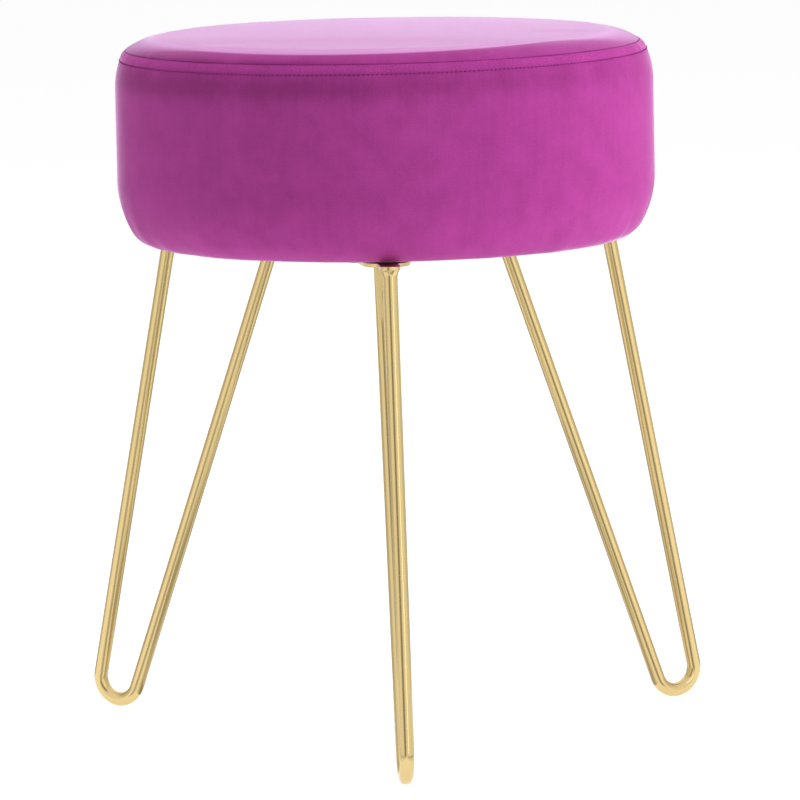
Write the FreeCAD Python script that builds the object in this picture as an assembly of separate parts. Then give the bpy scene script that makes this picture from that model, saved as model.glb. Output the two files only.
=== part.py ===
"""Round ottoman: a drum seat in velvet on three gold hairpin legs, each leg bolted on by a plate.

Lengths are millimetres and angles are degrees. The origin is on the floor, on the seat's axis,
with +Z up and the front leg towards -Y.
"""

import FreeCAD
import Part

import math
import os

from FreeCAD import Vector

# Whole stool
OVERALL_HEIGHT = 499.0  # floor to the top of the crowned seat
SEAT_DIAMETER = 380.0  # at the fullest part of the side
UNDERSIDE_HEIGHT = 350.0  # floor to the underside of the cover

# Outline of the seat: tangent arcs, each ending where the face's normal leans by an angle from up
CROWN_SLOPE = 1.6  # lean at the edge of the gently crowned top
SHOULDER_RADIUS = 44.0
SHOULDER_LEAN = 34.0  # lean where the shoulder meets the seam's edge
SEAM_EDGE_RADIUS = 14.0
SEAM_LEAN = 38.5  # lean on the seam itself
SEAM_EDGE_LEAN = 66.0  # lean where the seam's edge meets the side
UPPER_SIDE_RADIUS = 53.0
LOWER_SIDE_RADIUS = 68.0
LOWER_SIDE_TURN = 30.0  # how far the lower side turns under before its corner

# Upholstery, from the outside in
VELVET = 1.6
WADDING = 4.0
SIDE_FOAM = 24.0
SEAT_FOAM = 50.0  # at the middle of the seat
TOPSTITCH_DROP = 8.0  # down the band from the seam
THREAD_DIAMETER = 0.8
DUST_COVER = 0.4
DUST_COVER_INSET = 8.0  # from the drum's edge
HEM_MARGIN = 6.0  # hem that reaches past its staples

# Drum
SEAT_BOARD = 12.0
BASE_BOARD = 15.0
DRUM_WALL = 4.0
STRUT_WIDTH = 28.0
STRUT_FIT = 0.3  # between a strut's corners and the drum wall
STRUTS_PER_LEG = 2

# Staples
STAPLE_WIDTH = 10.0
STAPLE_WIRE = 0.7
STAPLE_LEG = 8.0
STAPLE_INSET = 5.0  # dust cover staples, from the dust cover's edge
STAPLE_ROW_GAP = 6.0  # from the dust cover staples to the hem staples
STAPLE_STEP = 10.0  # degrees from one staple to the next
DUST_STAPLES_PER_LEG = 10

# Wood screws that hold the boards to the struts
WOOD_SCREW_DIAMETER = 4.0
WOOD_SCREW_HEAD = 8.0
WOOD_SCREW_POINT = 5.0
WOOD_SCREW_TIP_GAP = 4.0  # between the tips of the two screws in one strut

# Hairpin legs, measured along a radius of the seat
ROD_DIAMETER = 10.0
BEND_RADIUS = 16.0  # centre line of the bend at the foot
OUTER_ROD_INSET = 8.0  # from the seat's edge to the outer rod's top
ROD_SPREAD = 88.0  # from the outer rod's top to the inner rod's
FOOT_SPLAY = 52.0  # from the outer rod's top out to the middle of the bend
FRONT_LEG_TURN = 5.0  # the front leg stands turned a little from straight out
LEGS = {"front": (270.0, FRONT_LEG_TURN), "right": (30.0, 0.0), "left": (150.0, 0.0)}

# Leg plates and their welds
PLATE_THICKNESS = 3.0
PLATE_TIP_MARGIN = 2.0  # round the outer rod
PLATE_TONGUE = 34.0  # from the outer rod back to the middle of the plate's round nose
PLATE_NOSE_RADIUS = 16.5
PLATE_ROOT_RADIUS = 3.0  # where the nose runs into the tongue that carries the outer rod
PLATE_HEEL_RADIUS = 8.0  # round each inner corner
PLATE_HEEL_SPREAD = 16.0  # from the leg's middle to each inner corner
PLATE_HEEL_MARGIN = 16.0  # from the inner rod to the plate's inner edge
PLATE_EDGE_ROUND = 0.5
WELD_LEG = 1.4  # how far a weld spreads on the plate
WELD_LENGTH = 4.5  # how far it runs down the rod
WELD_TOE = 0.4  # how thick it is where it ends on the rod

# Machine screws, washers and tee nuts that hold the legs
TIP_SCREW_INSET = 20.0  # from the drum's edge to the screw between a leg's rods
LEG_SCREW_DIAMETER = 6.0
LEG_SCREW_HEAD = 11.0
LEG_SCREW_HEAD_HEIGHT = 3.2
LEG_SCREW_HEAD_ROUND = 2.0
LEG_SCREW_SOCKET = 4.0  # across flats
LEG_SCREW_SOCKET_DEPTH = 2.0
LEG_SCREW_SETBACK = 1.0  # its tip stops this far inside the tee nut
LEG_SCREW_CLEARANCE = 0.3  # all round, in the plate and the cloth
WASHER_DIAMETER = 12.5
WASHER_THICKNESS = 1.2
TEE_NUT_BARREL = 8.0  # outer diameter
TEE_NUT_FLANGE = 19.0
TEE_NUT_FLANGE_THICKNESS = 1.5
TEE_NUT_SETBACK = 3.5  # its barrel stops this far above the base board's underside

# Heights and radii that follow
SEAT_RADIUS = SEAT_DIAMETER / 2
FOAM_DEPTH = VELVET + WADDING
DRUM_RADIUS = SEAT_RADIUS - FOAM_DEPTH - SIDE_FOAM
WALL_INNER_RADIUS = DRUM_RADIUS - DRUM_WALL
BASE_BOTTOM = UNDERSIDE_HEIGHT + VELVET
BASE_TOP = BASE_BOTTOM + BASE_BOARD
SEAT_BOARD_TOP = OVERALL_HEIGHT - FOAM_DEPTH - SEAT_FOAM
SEAT_BOARD_BOTTOM = SEAT_BOARD_TOP - SEAT_BOARD
DUST_COVER_BOTTOM = UNDERSIDE_HEIGHT - DUST_COVER
DUST_COVER_RADIUS = DRUM_RADIUS - DUST_COVER_INSET
DUST_STAPLE_RADIUS = DUST_COVER_RADIUS - STAPLE_INSET
HEM_STAPLE_RADIUS = DUST_STAPLE_RADIUS - STAPLE_ROW_GAP
HEM_INNER_RADIUS = HEM_STAPLE_RADIUS - HEM_MARGIN
PLATE_BOTTOM = DUST_COVER_BOTTOM - PLATE_THICKNESS
ROD_RADIUS = ROD_DIAMETER / 2
OUTER_ROD_REACH = SEAT_RADIUS - OUTER_ROD_INSET
INNER_ROD_REACH = OUTER_ROD_REACH - ROD_SPREAD
FOOT_REACH = OUTER_ROD_REACH + FOOT_SPLAY
PLATE_MIDDLE = (OUTER_ROD_REACH + INNER_ROD_REACH) / 2
PLATE_TIP_RADIUS = ROD_RADIUS + PLATE_TIP_MARGIN
PLATE_NOSE_REACH = OUTER_ROD_REACH - PLATE_TONGUE
HEEL_REACH = INNER_ROD_REACH - ROD_RADIUS - PLATE_HEEL_MARGIN + PLATE_HEEL_RADIUS
TIP_SCREW_REACH = DRUM_RADIUS - TIP_SCREW_INSET
LEG_SECTOR = 360.0 / len(LEGS)
STRUT_STEP = LEG_SECTOR / STRUTS_PER_LEG

UP = Vector(0, 0, 1)
ORIGIN = Vector(0, 0, 0)
SIDE_LEAN = 90.0  # lean of an upright face
UNDER_LEAN = 180.0  # lean of a face that looks straight down
MEETING_TOLERANCE = 1e-6  # faces this near each other are one


def profile_point(reach, height):
    """A point of the half section that is turned about the seat's axis."""
    return Vector(reach, 0, height)


def line(start, end):
    return Part.LineSegment(start, end).toShape()


def lean_vector(angle):
    """Unit normal of a face that leans by an angle from straight up, in the half section."""
    return profile_point(math.sin(math.radians(angle)), math.cos(math.radians(angle)))


def chain_arcs(start, arcs):
    """Tangent arcs from a start point, as (centre, radius, first lean, last lean)."""
    chained = []
    joint = start
    for radius, first, last in arcs:
        centre = joint - lean_vector(first) * radius
        chained.append((centre, radius, first, last))
        joint = centre + lean_vector(last) * radius
    return chained


def sine(angle):
    return math.sin(math.radians(angle))


def cosine(angle):
    return math.cos(math.radians(angle))


def upper_arcs():
    """Crown, shoulder, seam edge and upper side; the crown's radius makes them reach the seat's."""
    shoulder = (SHOULDER_RADIUS, CROWN_SLOPE, SHOULDER_LEAN)
    seam_edge = (SEAM_EDGE_RADIUS, SHOULDER_LEAN, SEAM_EDGE_LEAN)
    upper_side = (UPPER_SIDE_RADIUS, SEAM_EDGE_LEAN, SIDE_LEAN)
    rim = [shoulder, seam_edge, upper_side]
    rim_reach = sum(radius * (sine(last) - sine(first)) for radius, first, last in rim)
    crown = ((SEAT_RADIUS - rim_reach) / sine(CROWN_SLOPE), 0.0, CROWN_SLOPE)
    return chain_arcs(profile_point(0, OVERALL_HEIGHT), [crown] + rim)


def lower_arcs():
    """Lower side and corner; the corner's radius makes the flat underside start at the drum's edge."""
    turn_in = LOWER_SIDE_RADIUS * (1 - cosine(LOWER_SIDE_TURN))
    corner_radius = (SEAT_RADIUS - DRUM_RADIUS - turn_in) / cosine(LOWER_SIDE_TURN)
    height = LOWER_SIDE_RADIUS * sine(LOWER_SIDE_TURN) + corner_radius * (1 - sine(LOWER_SIDE_TURN))
    corner_lean = SIDE_LEAN + LOWER_SIDE_TURN
    lower_side = (LOWER_SIDE_RADIUS, SIDE_LEAN, corner_lean)
    corner = (corner_radius, corner_lean, UNDER_LEAN)
    return chain_arcs(profile_point(SEAT_RADIUS, UNDERSIDE_HEIGHT + height), [lower_side, corner])


def outline_point(arc, depth, lean):
    centre, radius, _, _ = arc
    return centre + lean_vector(lean) * (radius - depth)


def outline_edges(depth, first, last):
    """Edges of the face that lies a depth inside the cover's outer face, between two leans."""
    upper, lower = upper_arcs(), lower_arcs()
    edges = []
    for arc in upper + lower:
        low = max(first, arc[2])
        high = min(last, arc[3])
        if high > low:
            points = [outline_point(arc, depth, lean) for lean in (low, (low + high) / 2, high)]
            edges.append(Part.Arc(*points).toShape())
    if first < SIDE_LEAN < last:
        side_top = outline_point(upper[-1], depth, SIDE_LEAN)
        side_bottom = outline_point(lower[0], depth, SIDE_LEAN)
        edges.append(line(side_top, side_bottom))
    return edges


def on_outline(depth, lean):
    """The point of such a face where its normal leans by an angle; on the side, the upper end."""
    arc = next(arc for arc in upper_arcs() + lower_arcs() if arc[2] <= lean <= arc[3])
    return outline_point(arc, depth, lean)


def below_seam(distance):
    """The point of the cover's outer face at a distance down it from the seam."""
    for arc in upper_arcs():
        _, radius, first, last = arc
        start = max(SEAM_LEAN, first)
        length = math.radians(last - start) * radius
        if 0 <= distance <= length:
            return outline_point(arc, 0, start + math.degrees(distance / radius))
        distance -= max(length, 0)
    return on_outline(0, SIDE_LEAN) - UP * distance


def turned(edges):
    """The solid made by turning a closed half section about the seat's axis."""
    section = Part.Face(Part.Wire(Part.__sortEdges__(edges)))
    return section.revolve(ORIGIN, UP, 360)


def disc(radius, bottom, top):
    return Part.makeCylinder(radius, top - bottom, Vector(0, 0, bottom))


def joined_on(radius, outer, inner):
    """One solid from two that meet all round on a cylinder about the seat's axis."""

    def meets(face):
        surface = face.Surface
        return isinstance(surface, Part.Cylinder) and abs(surface.Radius - radius) < MEETING_TOLERANCE

    shell = Part.makeShell([face for face in outer.Faces + inner.Faces if not meets(face)])
    shell.sewShape()
    return Part.makeSolid(shell)


def around(shape, azimuth):
    """A copy of a shape that was made on the +X side, turned to an azimuth."""
    copy = shape.copy()
    copy.rotate(ORIGIN, UP, azimuth)
    return copy


def on_leg(shape, leg):
    """A copy of a shape that was made for a leg along +X, placed at one of the legs."""
    azimuth, turn = LEGS[leg]
    copy = shape.copy()
    copy.rotate(Vector(PLATE_MIDDLE, 0, 0), UP, turn)
    return around(copy, azimuth)


def make_layer(outer_depth, inner_depth, first, last):
    """A layer of the upholstery between two depths and two leans."""
    edges = outline_edges(outer_depth, first, last) + outline_edges(inner_depth, first, last)
    for lean in (first, last):
        edges.append(line(on_outline(outer_depth, lean), on_outline(inner_depth, lean)))
    return turned(edges)


def make_top_panel():
    return make_layer(0, VELVET, 0, SEAM_LEAN)


def make_topstitch_thread():
    centre = below_seam(TOPSTITCH_DROP)
    return Part.makeTorus(centre.x, THREAD_DIAMETER / 2, Vector(0, 0, centre.z))


def make_side_band(thread, staples, screw_ways):
    """The velvet round the side, with its hem turned under and stapled to the base board."""
    side = make_layer(0, VELVET, SEAM_LEAN, UNDER_LEAN).cut(thread)
    hem = disc(DRUM_RADIUS, UNDERSIDE_HEIGHT, BASE_BOTTOM)
    hem = hem.cut([disc(HEM_INNER_RADIUS, UNDERSIDE_HEIGHT, BASE_BOTTOM)] + staples + screw_ways)
    return joined_on(DRUM_RADIUS, side, hem)


def make_wadding():
    return make_layer(VELVET, FOAM_DEPTH, 0, UNDER_LEAN)


def make_foam_core():
    """All that the wadding holds: both foams and the drum."""
    bottom = on_outline(FOAM_DEPTH, UNDER_LEAN)
    top = on_outline(FOAM_DEPTH, 0)
    middle = profile_point(0, bottom.z)
    edges = outline_edges(FOAM_DEPTH, 0, UNDER_LEAN)
    edges += [line(bottom, middle), line(middle, top)]
    return turned(edges)


def make_seat_foam():
    return make_foam_core().common(disc(SEAT_RADIUS, SEAT_BOARD_TOP, OVERALL_HEIGHT))


def make_side_foam():
    ring = disc(SEAT_RADIUS, UNDERSIDE_HEIGHT, SEAT_BOARD_TOP).cut(disc(DRUM_RADIUS, 0, OVERALL_HEIGHT))
    return make_foam_core().common(ring)


def strut_reach():
    """From the axis to a strut's middle, with its outer corners just inside the drum wall."""
    half = STRUT_WIDTH / 2
    return math.sqrt((WALL_INNER_RADIUS - STRUT_FIT) ** 2 - half**2) - half


def strut_azimuths():
    first = LEGS["right"][0] + STRUT_STEP / 2
    return [first + STRUT_STEP * i for i in range(STRUTS_PER_LEG * len(LEGS))]


def make_wood_screw(head_face, direction, board):
    """A countersunk screw, flush in a board's face, that goes almost half way into a strut."""
    bite = (SEAT_BOARD_BOTTOM - BASE_TOP - WOOD_SCREW_TIP_GAP) / 2
    radius = WOOD_SCREW_DIAMETER / 2
    head_radius = WOOD_SCREW_HEAD / 2
    head_height = head_radius - radius
    start = Vector(strut_reach(), 0, head_face)
    shank_length = board + bite - WOOD_SCREW_POINT
    head = Part.makeCone(head_radius, radius, head_height, start, direction)
    shank = Part.makeCylinder(radius, shank_length, start, direction)
    point = Part.makeCone(radius, 0, WOOD_SCREW_POINT, start + direction * shank_length, direction)
    return head.fuse([shank, point]).removeSplitter()


def make_strut(screws):
    half = STRUT_WIDTH / 2
    corner = Vector(strut_reach() - half, -half, BASE_TOP)
    block = Part.makeBox(STRUT_WIDTH, STRUT_WIDTH, SEAT_BOARD_BOTTOM - BASE_TOP, corner)
    return block.cut(screws)


def make_staple(radius, crown_bottom):
    """A staple driven upwards, with its crown across a radius of the seat."""
    half = STAPLE_WIDTH / 2
    corner = Vector(radius - STAPLE_WIRE / 2, -half, crown_bottom)
    crown = Part.makeBox(STAPLE_WIRE, STAPLE_WIDTH, STAPLE_WIRE, corner)
    near_leg = Part.makeBox(STAPLE_WIRE, STAPLE_WIRE, STAPLE_LEG, corner)
    far_leg = near_leg.copy()
    far_leg.translate(Vector(0, STAPLE_WIDTH - STAPLE_WIRE, 0))
    return crown.fuse([near_leg, far_leg]).removeSplitter()


def make_hem_staples():
    """Pressed flush into the hem, all round."""
    staple = make_staple(HEM_STAPLE_RADIUS, UNDERSIDE_HEIGHT)
    count = round(360 / STAPLE_STEP)
    return [around(staple, STAPLE_STEP * (i + 0.5)) for i in range(count)]


def make_dust_cover_staples():
    """Under the dust cover, between the leg plates."""
    staple = make_staple(DUST_STAPLE_RADIUS, DUST_COVER_BOTTOM - STAPLE_WIRE)
    start = (LEG_SECTOR - STAPLE_STEP * (DUST_STAPLES_PER_LEG - 1)) / 2
    offsets = [start + STAPLE_STEP * i for i in range(DUST_STAPLES_PER_LEG)]
    return [around(staple, azimuth + offset) for azimuth, _ in LEGS.values() for offset in offsets]


def leg_screw_places():
    """The three screws of a leg along +X: one between the rods, one in each inner corner."""
    heel = [Vector(HEEL_REACH, side * PLATE_HEEL_SPREAD, 0) for side in (-1, 1)]
    return [Vector(TIP_SCREW_REACH, 0, 0)] + heel


def at_leg_screws(shape):
    """A copy of a shape on the axis at every leg screw's place."""
    copies = []
    for leg in LEGS:
        for place in leg_screw_places():
            copy = shape.copy()
            copy.translate(place)
            copies.append(on_leg(copy, leg))
    return copies


def make_screw_way():
    """The way that a leg screw takes through the plate, the dust cover and the hem."""
    return disc(LEG_SCREW_DIAMETER / 2 + LEG_SCREW_CLEARANCE, PLATE_BOTTOM, BASE_BOTTOM)


def make_leg_screw():
    """A button head screw with a hexagon socket, its head under the washer."""
    seat = PLATE_BOTTOM - WASHER_THICKNESS
    tip = BASE_TOP + TEE_NUT_FLANGE_THICKNESS - LEG_SCREW_SETBACK
    head = disc(LEG_SCREW_HEAD / 2, seat - LEG_SCREW_HEAD_HEIGHT, seat)
    rim = [edge for edge in head.Edges if edge.BoundBox.ZMax < seat - LEG_SCREW_HEAD_HEIGHT / 2]
    head = head.makeFillet(LEG_SCREW_HEAD_ROUND, rim)
    corner = LEG_SCREW_SOCKET / math.sqrt(3)
    bottom = seat - LEG_SCREW_HEAD_HEIGHT
    corners = [Vector(corner * cosine(60 * i), corner * sine(60 * i), bottom) for i in range(7)]
    socket = Part.Face(Part.makePolygon(corners)).extrude(Vector(0, 0, LEG_SCREW_SOCKET_DEPTH))
    return head.fuse(disc(LEG_SCREW_DIAMETER / 2, seat, tip)).removeSplitter().cut(socket)


def make_washer():
    bottom = PLATE_BOTTOM - WASHER_THICKNESS
    bore = disc(LEG_SCREW_DIAMETER / 2 + LEG_SCREW_CLEARANCE, bottom, PLATE_BOTTOM)
    return disc(WASHER_DIAMETER / 2, bottom, PLATE_BOTTOM).cut(bore)


def make_tee_nut_body():
    """A tee nut with no bore: its barrel in the base board, its flange on top of it."""
    barrel = disc(TEE_NUT_BARREL / 2, BASE_BOTTOM + TEE_NUT_SETBACK, BASE_TOP)
    flange = disc(TEE_NUT_FLANGE / 2, BASE_TOP, BASE_TOP + TEE_NUT_FLANGE_THICKNESS)
    return barrel.fuse(flange).removeSplitter()


def make_tee_nut():
    return make_tee_nut_body().cut(disc(LEG_SCREW_DIAMETER / 2, BASE_BOTTOM, SEAT_BOARD_TOP))


def tangent_point(centre, radius, start, side):
    """Where a line from a start point touches a circle, on the circle's outer or inner side."""
    away = start - centre
    angle = math.atan2(away.z, away.x) - side * math.acos(radius / away.Length)
    return centre + profile_point(math.cos(angle), math.sin(angle)) * radius


def rod_route():
    """Centre line of a leg along +X: outer top, outer tangent, foot, inner tangent, inner top."""
    centre = profile_point(FOOT_REACH, BEND_RADIUS + ROD_RADIUS)
    outer_top = profile_point(OUTER_ROD_REACH, PLATE_BOTTOM)
    inner_top = profile_point(INNER_ROD_REACH, PLATE_BOTTOM)
    outer_tangent = tangent_point(centre, BEND_RADIUS, outer_top, 1)
    inner_tangent = tangent_point(centre, BEND_RADIUS, inner_top, -1)
    foot = profile_point(FOOT_REACH, ROD_RADIUS)
    return outer_top, outer_tangent, foot, inner_tangent, inner_top


def along(start, end):
    return (end - start).normalize()


def below_plate():
    """All the room under the leg plates."""
    width = 2 * (FOOT_REACH + BEND_RADIUS + ROD_DIAMETER)
    return Part.makeBox(width, width, PLATE_BOTTOM, Vector(-width / 2, -width / 2, 0))


def make_rod():
    """A round rod bent into a hairpin, its two ends cut level under the plate."""
    outer_top, outer_tangent, foot, inner_tangent, inner_top = rod_route()
    outer_end = outer_top - along(outer_top, outer_tangent) * ROD_DIAMETER
    inner_end = inner_top - along(inner_top, inner_tangent) * ROD_DIAMETER
    bend = Part.Arc(outer_tangent, foot, inner_tangent).toShape()
    path = Part.Wire([line(outer_end, outer_tangent), bend, line(inner_tangent, inner_end)])
    section = Part.Wire(Part.makeCircle(ROD_RADIUS, outer_end, along(outer_end, outer_tangent)))
    return path.makePipeShell([section], True, False).common(below_plate())


def make_weld(top, tangent, rod):
    """A fillet of weld round a rod's top, against the plate."""
    down = along(top, tangent)
    rise = ROD_DIAMETER
    spread = (WELD_LEG - WELD_TOE) / WELD_LENGTH
    upper_radius = ROD_RADIUS + WELD_LEG + spread * rise
    cone = Part.makeCone(upper_radius, ROD_RADIUS + WELD_TOE, rise + WELD_LENGTH, top - down * rise, down)
    return cone.common(below_plate()).cut(rod)


def make_welds(rod):
    outer_top, outer_tangent, _, inner_tangent, inner_top = rod_route()
    return [make_weld(outer_top, outer_tangent, rod), make_weld(inner_top, inner_tangent, rod)]


def make_tongue():
    """The narrow part of a plate, from its nose to round the outer rod."""
    tip = Vector(OUTER_ROD_REACH, 0, PLATE_BOTTOM)
    corner = Vector(PLATE_NOSE_REACH, -PLATE_TIP_RADIUS, PLATE_BOTTOM)
    strip = Part.makeBox(PLATE_TONGUE, 2 * PLATE_TIP_RADIUS, PLATE_THICKNESS, corner)
    return strip.fuse(Part.makeCylinder(PLATE_TIP_RADIUS, PLATE_THICKNESS, tip))


def make_plate():
    """A round-nosed plate, widest behind the inner rod, with a tongue that carries the outer rod."""
    nose = Vector(PLATE_NOSE_REACH, 0, PLATE_BOTTOM)
    heel = Vector(HEEL_REACH, PLATE_HEEL_SPREAD, PLATE_BOTTOM)
    run = heel - nose
    lean = math.atan2(run.y, run.x) - math.acos((PLATE_NOSE_RADIUS - PLATE_HEEL_RADIUS) / run.Length)
    edge_normal = Vector(math.cos(lean), math.sin(lean), 0)

    def mirrored(point):
        return Vector(point.x, -point.y, point.z)

    nose_side = nose + edge_normal * PLATE_NOSE_RADIUS
    nose_front = nose + Vector(PLATE_NOSE_RADIUS, 0, 0)
    heel_side = heel + edge_normal * PLATE_HEEL_RADIUS
    heel_back = heel - Vector(PLATE_HEEL_RADIUS, 0, 0)
    heel_middle = heel + (edge_normal - Vector(1, 0, 0)).normalize() * PLATE_HEEL_RADIUS
    edges = [
        Part.Arc(mirrored(nose_side), nose_front, nose_side).toShape(),
        line(nose_side, heel_side),
        Part.Arc(heel_side, heel_middle, heel_back).toShape(),
        line(heel_back, mirrored(heel_back)),
        Part.Arc(mirrored(heel_back), mirrored(heel_middle), mirrored(heel_side)).toShape(),
        line(mirrored(heel_side), mirrored(nose_side)),
    ]
    plate = Part.Face(Part.Wire(edges)).extrude(Vector(0, 0, PLATE_THICKNESS))
    plate = plate.fuse(make_tongue()).removeSplitter()
    root_reach = PLATE_NOSE_REACH + math.sqrt(PLATE_NOSE_RADIUS**2 - PLATE_TIP_RADIUS**2)
    upright = [edge for edge in plate.Edges if edge.BoundBox.ZLength > PLATE_THICKNESS / 2]
    roots = [edge for edge in upright if abs(edge.CenterOfMass.x - root_reach) < PLATE_EDGE_ROUND]
    plate = plate.makeFillet(PLATE_ROOT_RADIUS, roots)
    flat_edges = [edge for edge in plate.Edges if edge.BoundBox.ZLength < PLATE_EDGE_ROUND]
    plate = plate.makeFillet(PLATE_EDGE_ROUND, flat_edges)
    ways = []
    for place in leg_screw_places():
        way = make_screw_way()
        way.translate(place)
        ways.append(way)
    return plate.cut(ways)


def write_node(name, solids):
    """One solid, or a group of like solids, to its own file."""
    shape = solids if isinstance(solids, Part.Shape) else Part.makeCompound(solids)
    shape.exportStep(f"parts/{name}.step")
    print(f"{name}: {len(shape.Solids)} solid(s), {shape.Volume / 1000:.2f} cm3, valid {shape.isValid()}")


def make_nodes():
    """Every node's solids by name."""
    nodes = {}
    hem_staples = make_hem_staples()
    dust_cover_staples = make_dust_cover_staples()
    screw_ways = at_leg_screws(make_screw_way())
    azimuths = strut_azimuths()
    seat_screw = make_wood_screw(SEAT_BOARD_TOP, -UP, SEAT_BOARD)
    base_screw = make_wood_screw(BASE_BOTTOM, UP, BASE_BOARD)
    seat_screws = [around(seat_screw, azimuth) for azimuth in azimuths]
    base_screws = [around(base_screw, azimuth) for azimuth in azimuths]
    thread = make_topstitch_thread()
    rod = make_rod()
    plate = make_plate()

    nodes["top_panel"] = make_top_panel()
    nodes["side_band"] = make_side_band(thread, hem_staples + dust_cover_staples, screw_ways)
    nodes["topstitch_thread"] = thread
    nodes["wadding"] = make_wadding()
    nodes["seat_foam"] = make_seat_foam()
    nodes["side_foam"] = make_side_foam()

    nodes["seat_board"] = disc(DRUM_RADIUS, SEAT_BOARD_BOTTOM, SEAT_BOARD_TOP).cut(seat_screws)
    base_board = disc(DRUM_RADIUS, BASE_BOTTOM, BASE_TOP)
    tee_nut_ways = at_leg_screws(disc(TEE_NUT_BARREL / 2, BASE_BOTTOM, BASE_TOP))
    nodes["base_board"] = base_board.cut(base_screws + hem_staples + dust_cover_staples + tee_nut_ways)
    drum_wall = disc(DRUM_RADIUS, BASE_TOP, SEAT_BOARD_BOTTOM)
    nodes["drum_wall"] = drum_wall.cut(disc(WALL_INNER_RADIUS, BASE_TOP, SEAT_BOARD_BOTTOM))
    strut = make_strut([seat_screw, base_screw])
    for number, azimuth in enumerate(azimuths, start=1):
        nodes[f"strut_{number}"] = around(strut, azimuth)
    nodes["seat_board_screws"] = seat_screws
    nodes["base_board_screws"] = base_screws

    nodes["hem_staples"] = hem_staples
    dust_cover = disc(DUST_COVER_RADIUS, DUST_COVER_BOTTOM, UNDERSIDE_HEIGHT)
    nodes["dust_cover"] = dust_cover.cut(screw_ways + dust_cover_staples)
    nodes["dust_cover_staples"] = dust_cover_staples

    for leg in LEGS:
        nodes[f"{leg}_leg_rod"] = on_leg(rod, leg)
        nodes[f"{leg}_leg_welds"] = [on_leg(weld, leg) for weld in make_welds(rod)]
        nodes[f"{leg}_leg_plate"] = on_leg(plate, leg)
    nodes["leg_screws"] = at_leg_screws(make_leg_screw())
    nodes["leg_washers"] = at_leg_screws(make_washer())
    nodes["tee_nuts"] = at_leg_screws(make_tee_nut())
    return nodes


os.makedirs("parts", exist_ok=True)
for node_name, node_solids in make_nodes().items():
    write_node(node_name, node_solids)
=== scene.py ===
# %% [markdown]
# # A round velvet ottoman on hairpin legs
#
# The stool is a foam and plywood drum under a velvet cover, on three legs of bent round rod.
# Its hard parts come from a CAD model, which is loaded here as a fixed frame in metres. This
# lesson dresses that frame: the soft cover is sewn and blown up, the rods are swept along their
# bends, and every surface gets a finish made of nodes.

# %% Load the frame
import math

import bmesh
import bpy
import numpy as np
from mathutils import Matrix, Vector, noise
from mathutils.kdtree import KDTree


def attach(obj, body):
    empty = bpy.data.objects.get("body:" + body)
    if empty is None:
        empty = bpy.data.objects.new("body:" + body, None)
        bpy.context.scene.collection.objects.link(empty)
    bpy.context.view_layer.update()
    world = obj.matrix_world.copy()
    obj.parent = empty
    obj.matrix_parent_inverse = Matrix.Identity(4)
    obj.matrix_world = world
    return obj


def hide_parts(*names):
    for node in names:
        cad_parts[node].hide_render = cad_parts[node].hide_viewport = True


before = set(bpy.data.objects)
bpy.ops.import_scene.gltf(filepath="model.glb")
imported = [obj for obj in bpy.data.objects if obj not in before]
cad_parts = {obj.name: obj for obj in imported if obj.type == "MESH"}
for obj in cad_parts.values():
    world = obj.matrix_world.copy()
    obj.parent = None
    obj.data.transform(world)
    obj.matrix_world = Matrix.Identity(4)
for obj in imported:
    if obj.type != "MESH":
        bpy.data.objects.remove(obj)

MM = 0.001
scene = bpy.context.scene
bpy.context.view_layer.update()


def add_object(name, data):
    made = bpy.data.objects.new(name, data)
    scene.collection.objects.link(made)
    return made


def full_turn(steps):
    """Angles spaced evenly round the seat's axis."""
    return np.linspace(0, 2 * math.pi, steps, endpoint=False)


# %% [markdown]
# ## The camera
#
# The photograph was taken from about five metres away with a long lens, a little above the seat
# and tilted down. A long lens keeps the seat's rim a thin ellipse and the legs nearly the same
# size. The numbers come from fitting the seat's outline, the rods and the feet to the picture.

# %% Camera
CAMERA_DISTANCE, CAMERA_HEIGHT = 5.0, 0.8404
CAMERA_YAW, CAMERA_PITCH, CAMERA_ROLL = (math.radians(a) for a in (0.08, 6.90, -1.07))
STOOL_TURN = math.radians(0.68)
FOCAL_SHARE = 7097 / 800  # focal length as a share of the picture's width

camera = add_object("camera", bpy.data.cameras.new("camera"))
camera.data.sensor_width = 36.0
camera.data.lens = FOCAL_SHARE * camera.data.sensor_width
camera.data.clip_end = 200.0
camera.matrix_world = (
    Matrix.Rotation(STOOL_TURN, 4, "Z")
    @ Matrix.Translation((0, -CAMERA_DISTANCE, CAMERA_HEIGHT))
    @ Matrix.Rotation(-CAMERA_YAW, 4, "Z")
    @ Matrix.Rotation(math.pi / 2 - CAMERA_PITCH, 4, "X")
    @ Matrix.Rotation(CAMERA_ROLL, 4, "Z")
)
scene.camera = camera
print(f"camera: {camera.data.lens:.0f} mm lens at", [round(x, 3) for x in camera.matrix_world.translation])

# %% [markdown]
# ## Small helpers for nodes
#
# Every finish below is a tree of nodes. A few helpers keep those trees readable: one adds a node
# and fills its inputs, either with a value or with another node's output, one opens a group with
# named inputs and outputs, for an effect that several finishes share, and one adds up values.

# %% Node helpers
SOCKETS = {int: "NodeSocketInt", float: "NodeSocketFloat", tuple: "NodeSocketVector"}
VECTOR, FLOAT, GEOMETRY, MATERIAL, OBJECT = (
    f"NodeSocket{kind}" for kind in ("Vector", "Float", "Geometry", "Material", "Object")
)


def add_node(tree, kind, inputs=None, **settings):
    """A node of a kind; an input is given by its name or number, as a value or as a socket."""
    made = tree.nodes.new(kind)
    for name, value in settings.items():
        setattr(made, name, value)
    for key, value in (inputs or {}).items():
        if isinstance(value, bpy.types.NodeSocket):
            tree.links.new(value, made.inputs[key])
        else:
            made.inputs[key].default_value = value
    return made


def output_of(tree, kind, inputs=None, output=0, **settings):
    """One output of a new node, by its name or number."""
    return add_node(tree, kind, inputs, **settings).outputs[output]


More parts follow.
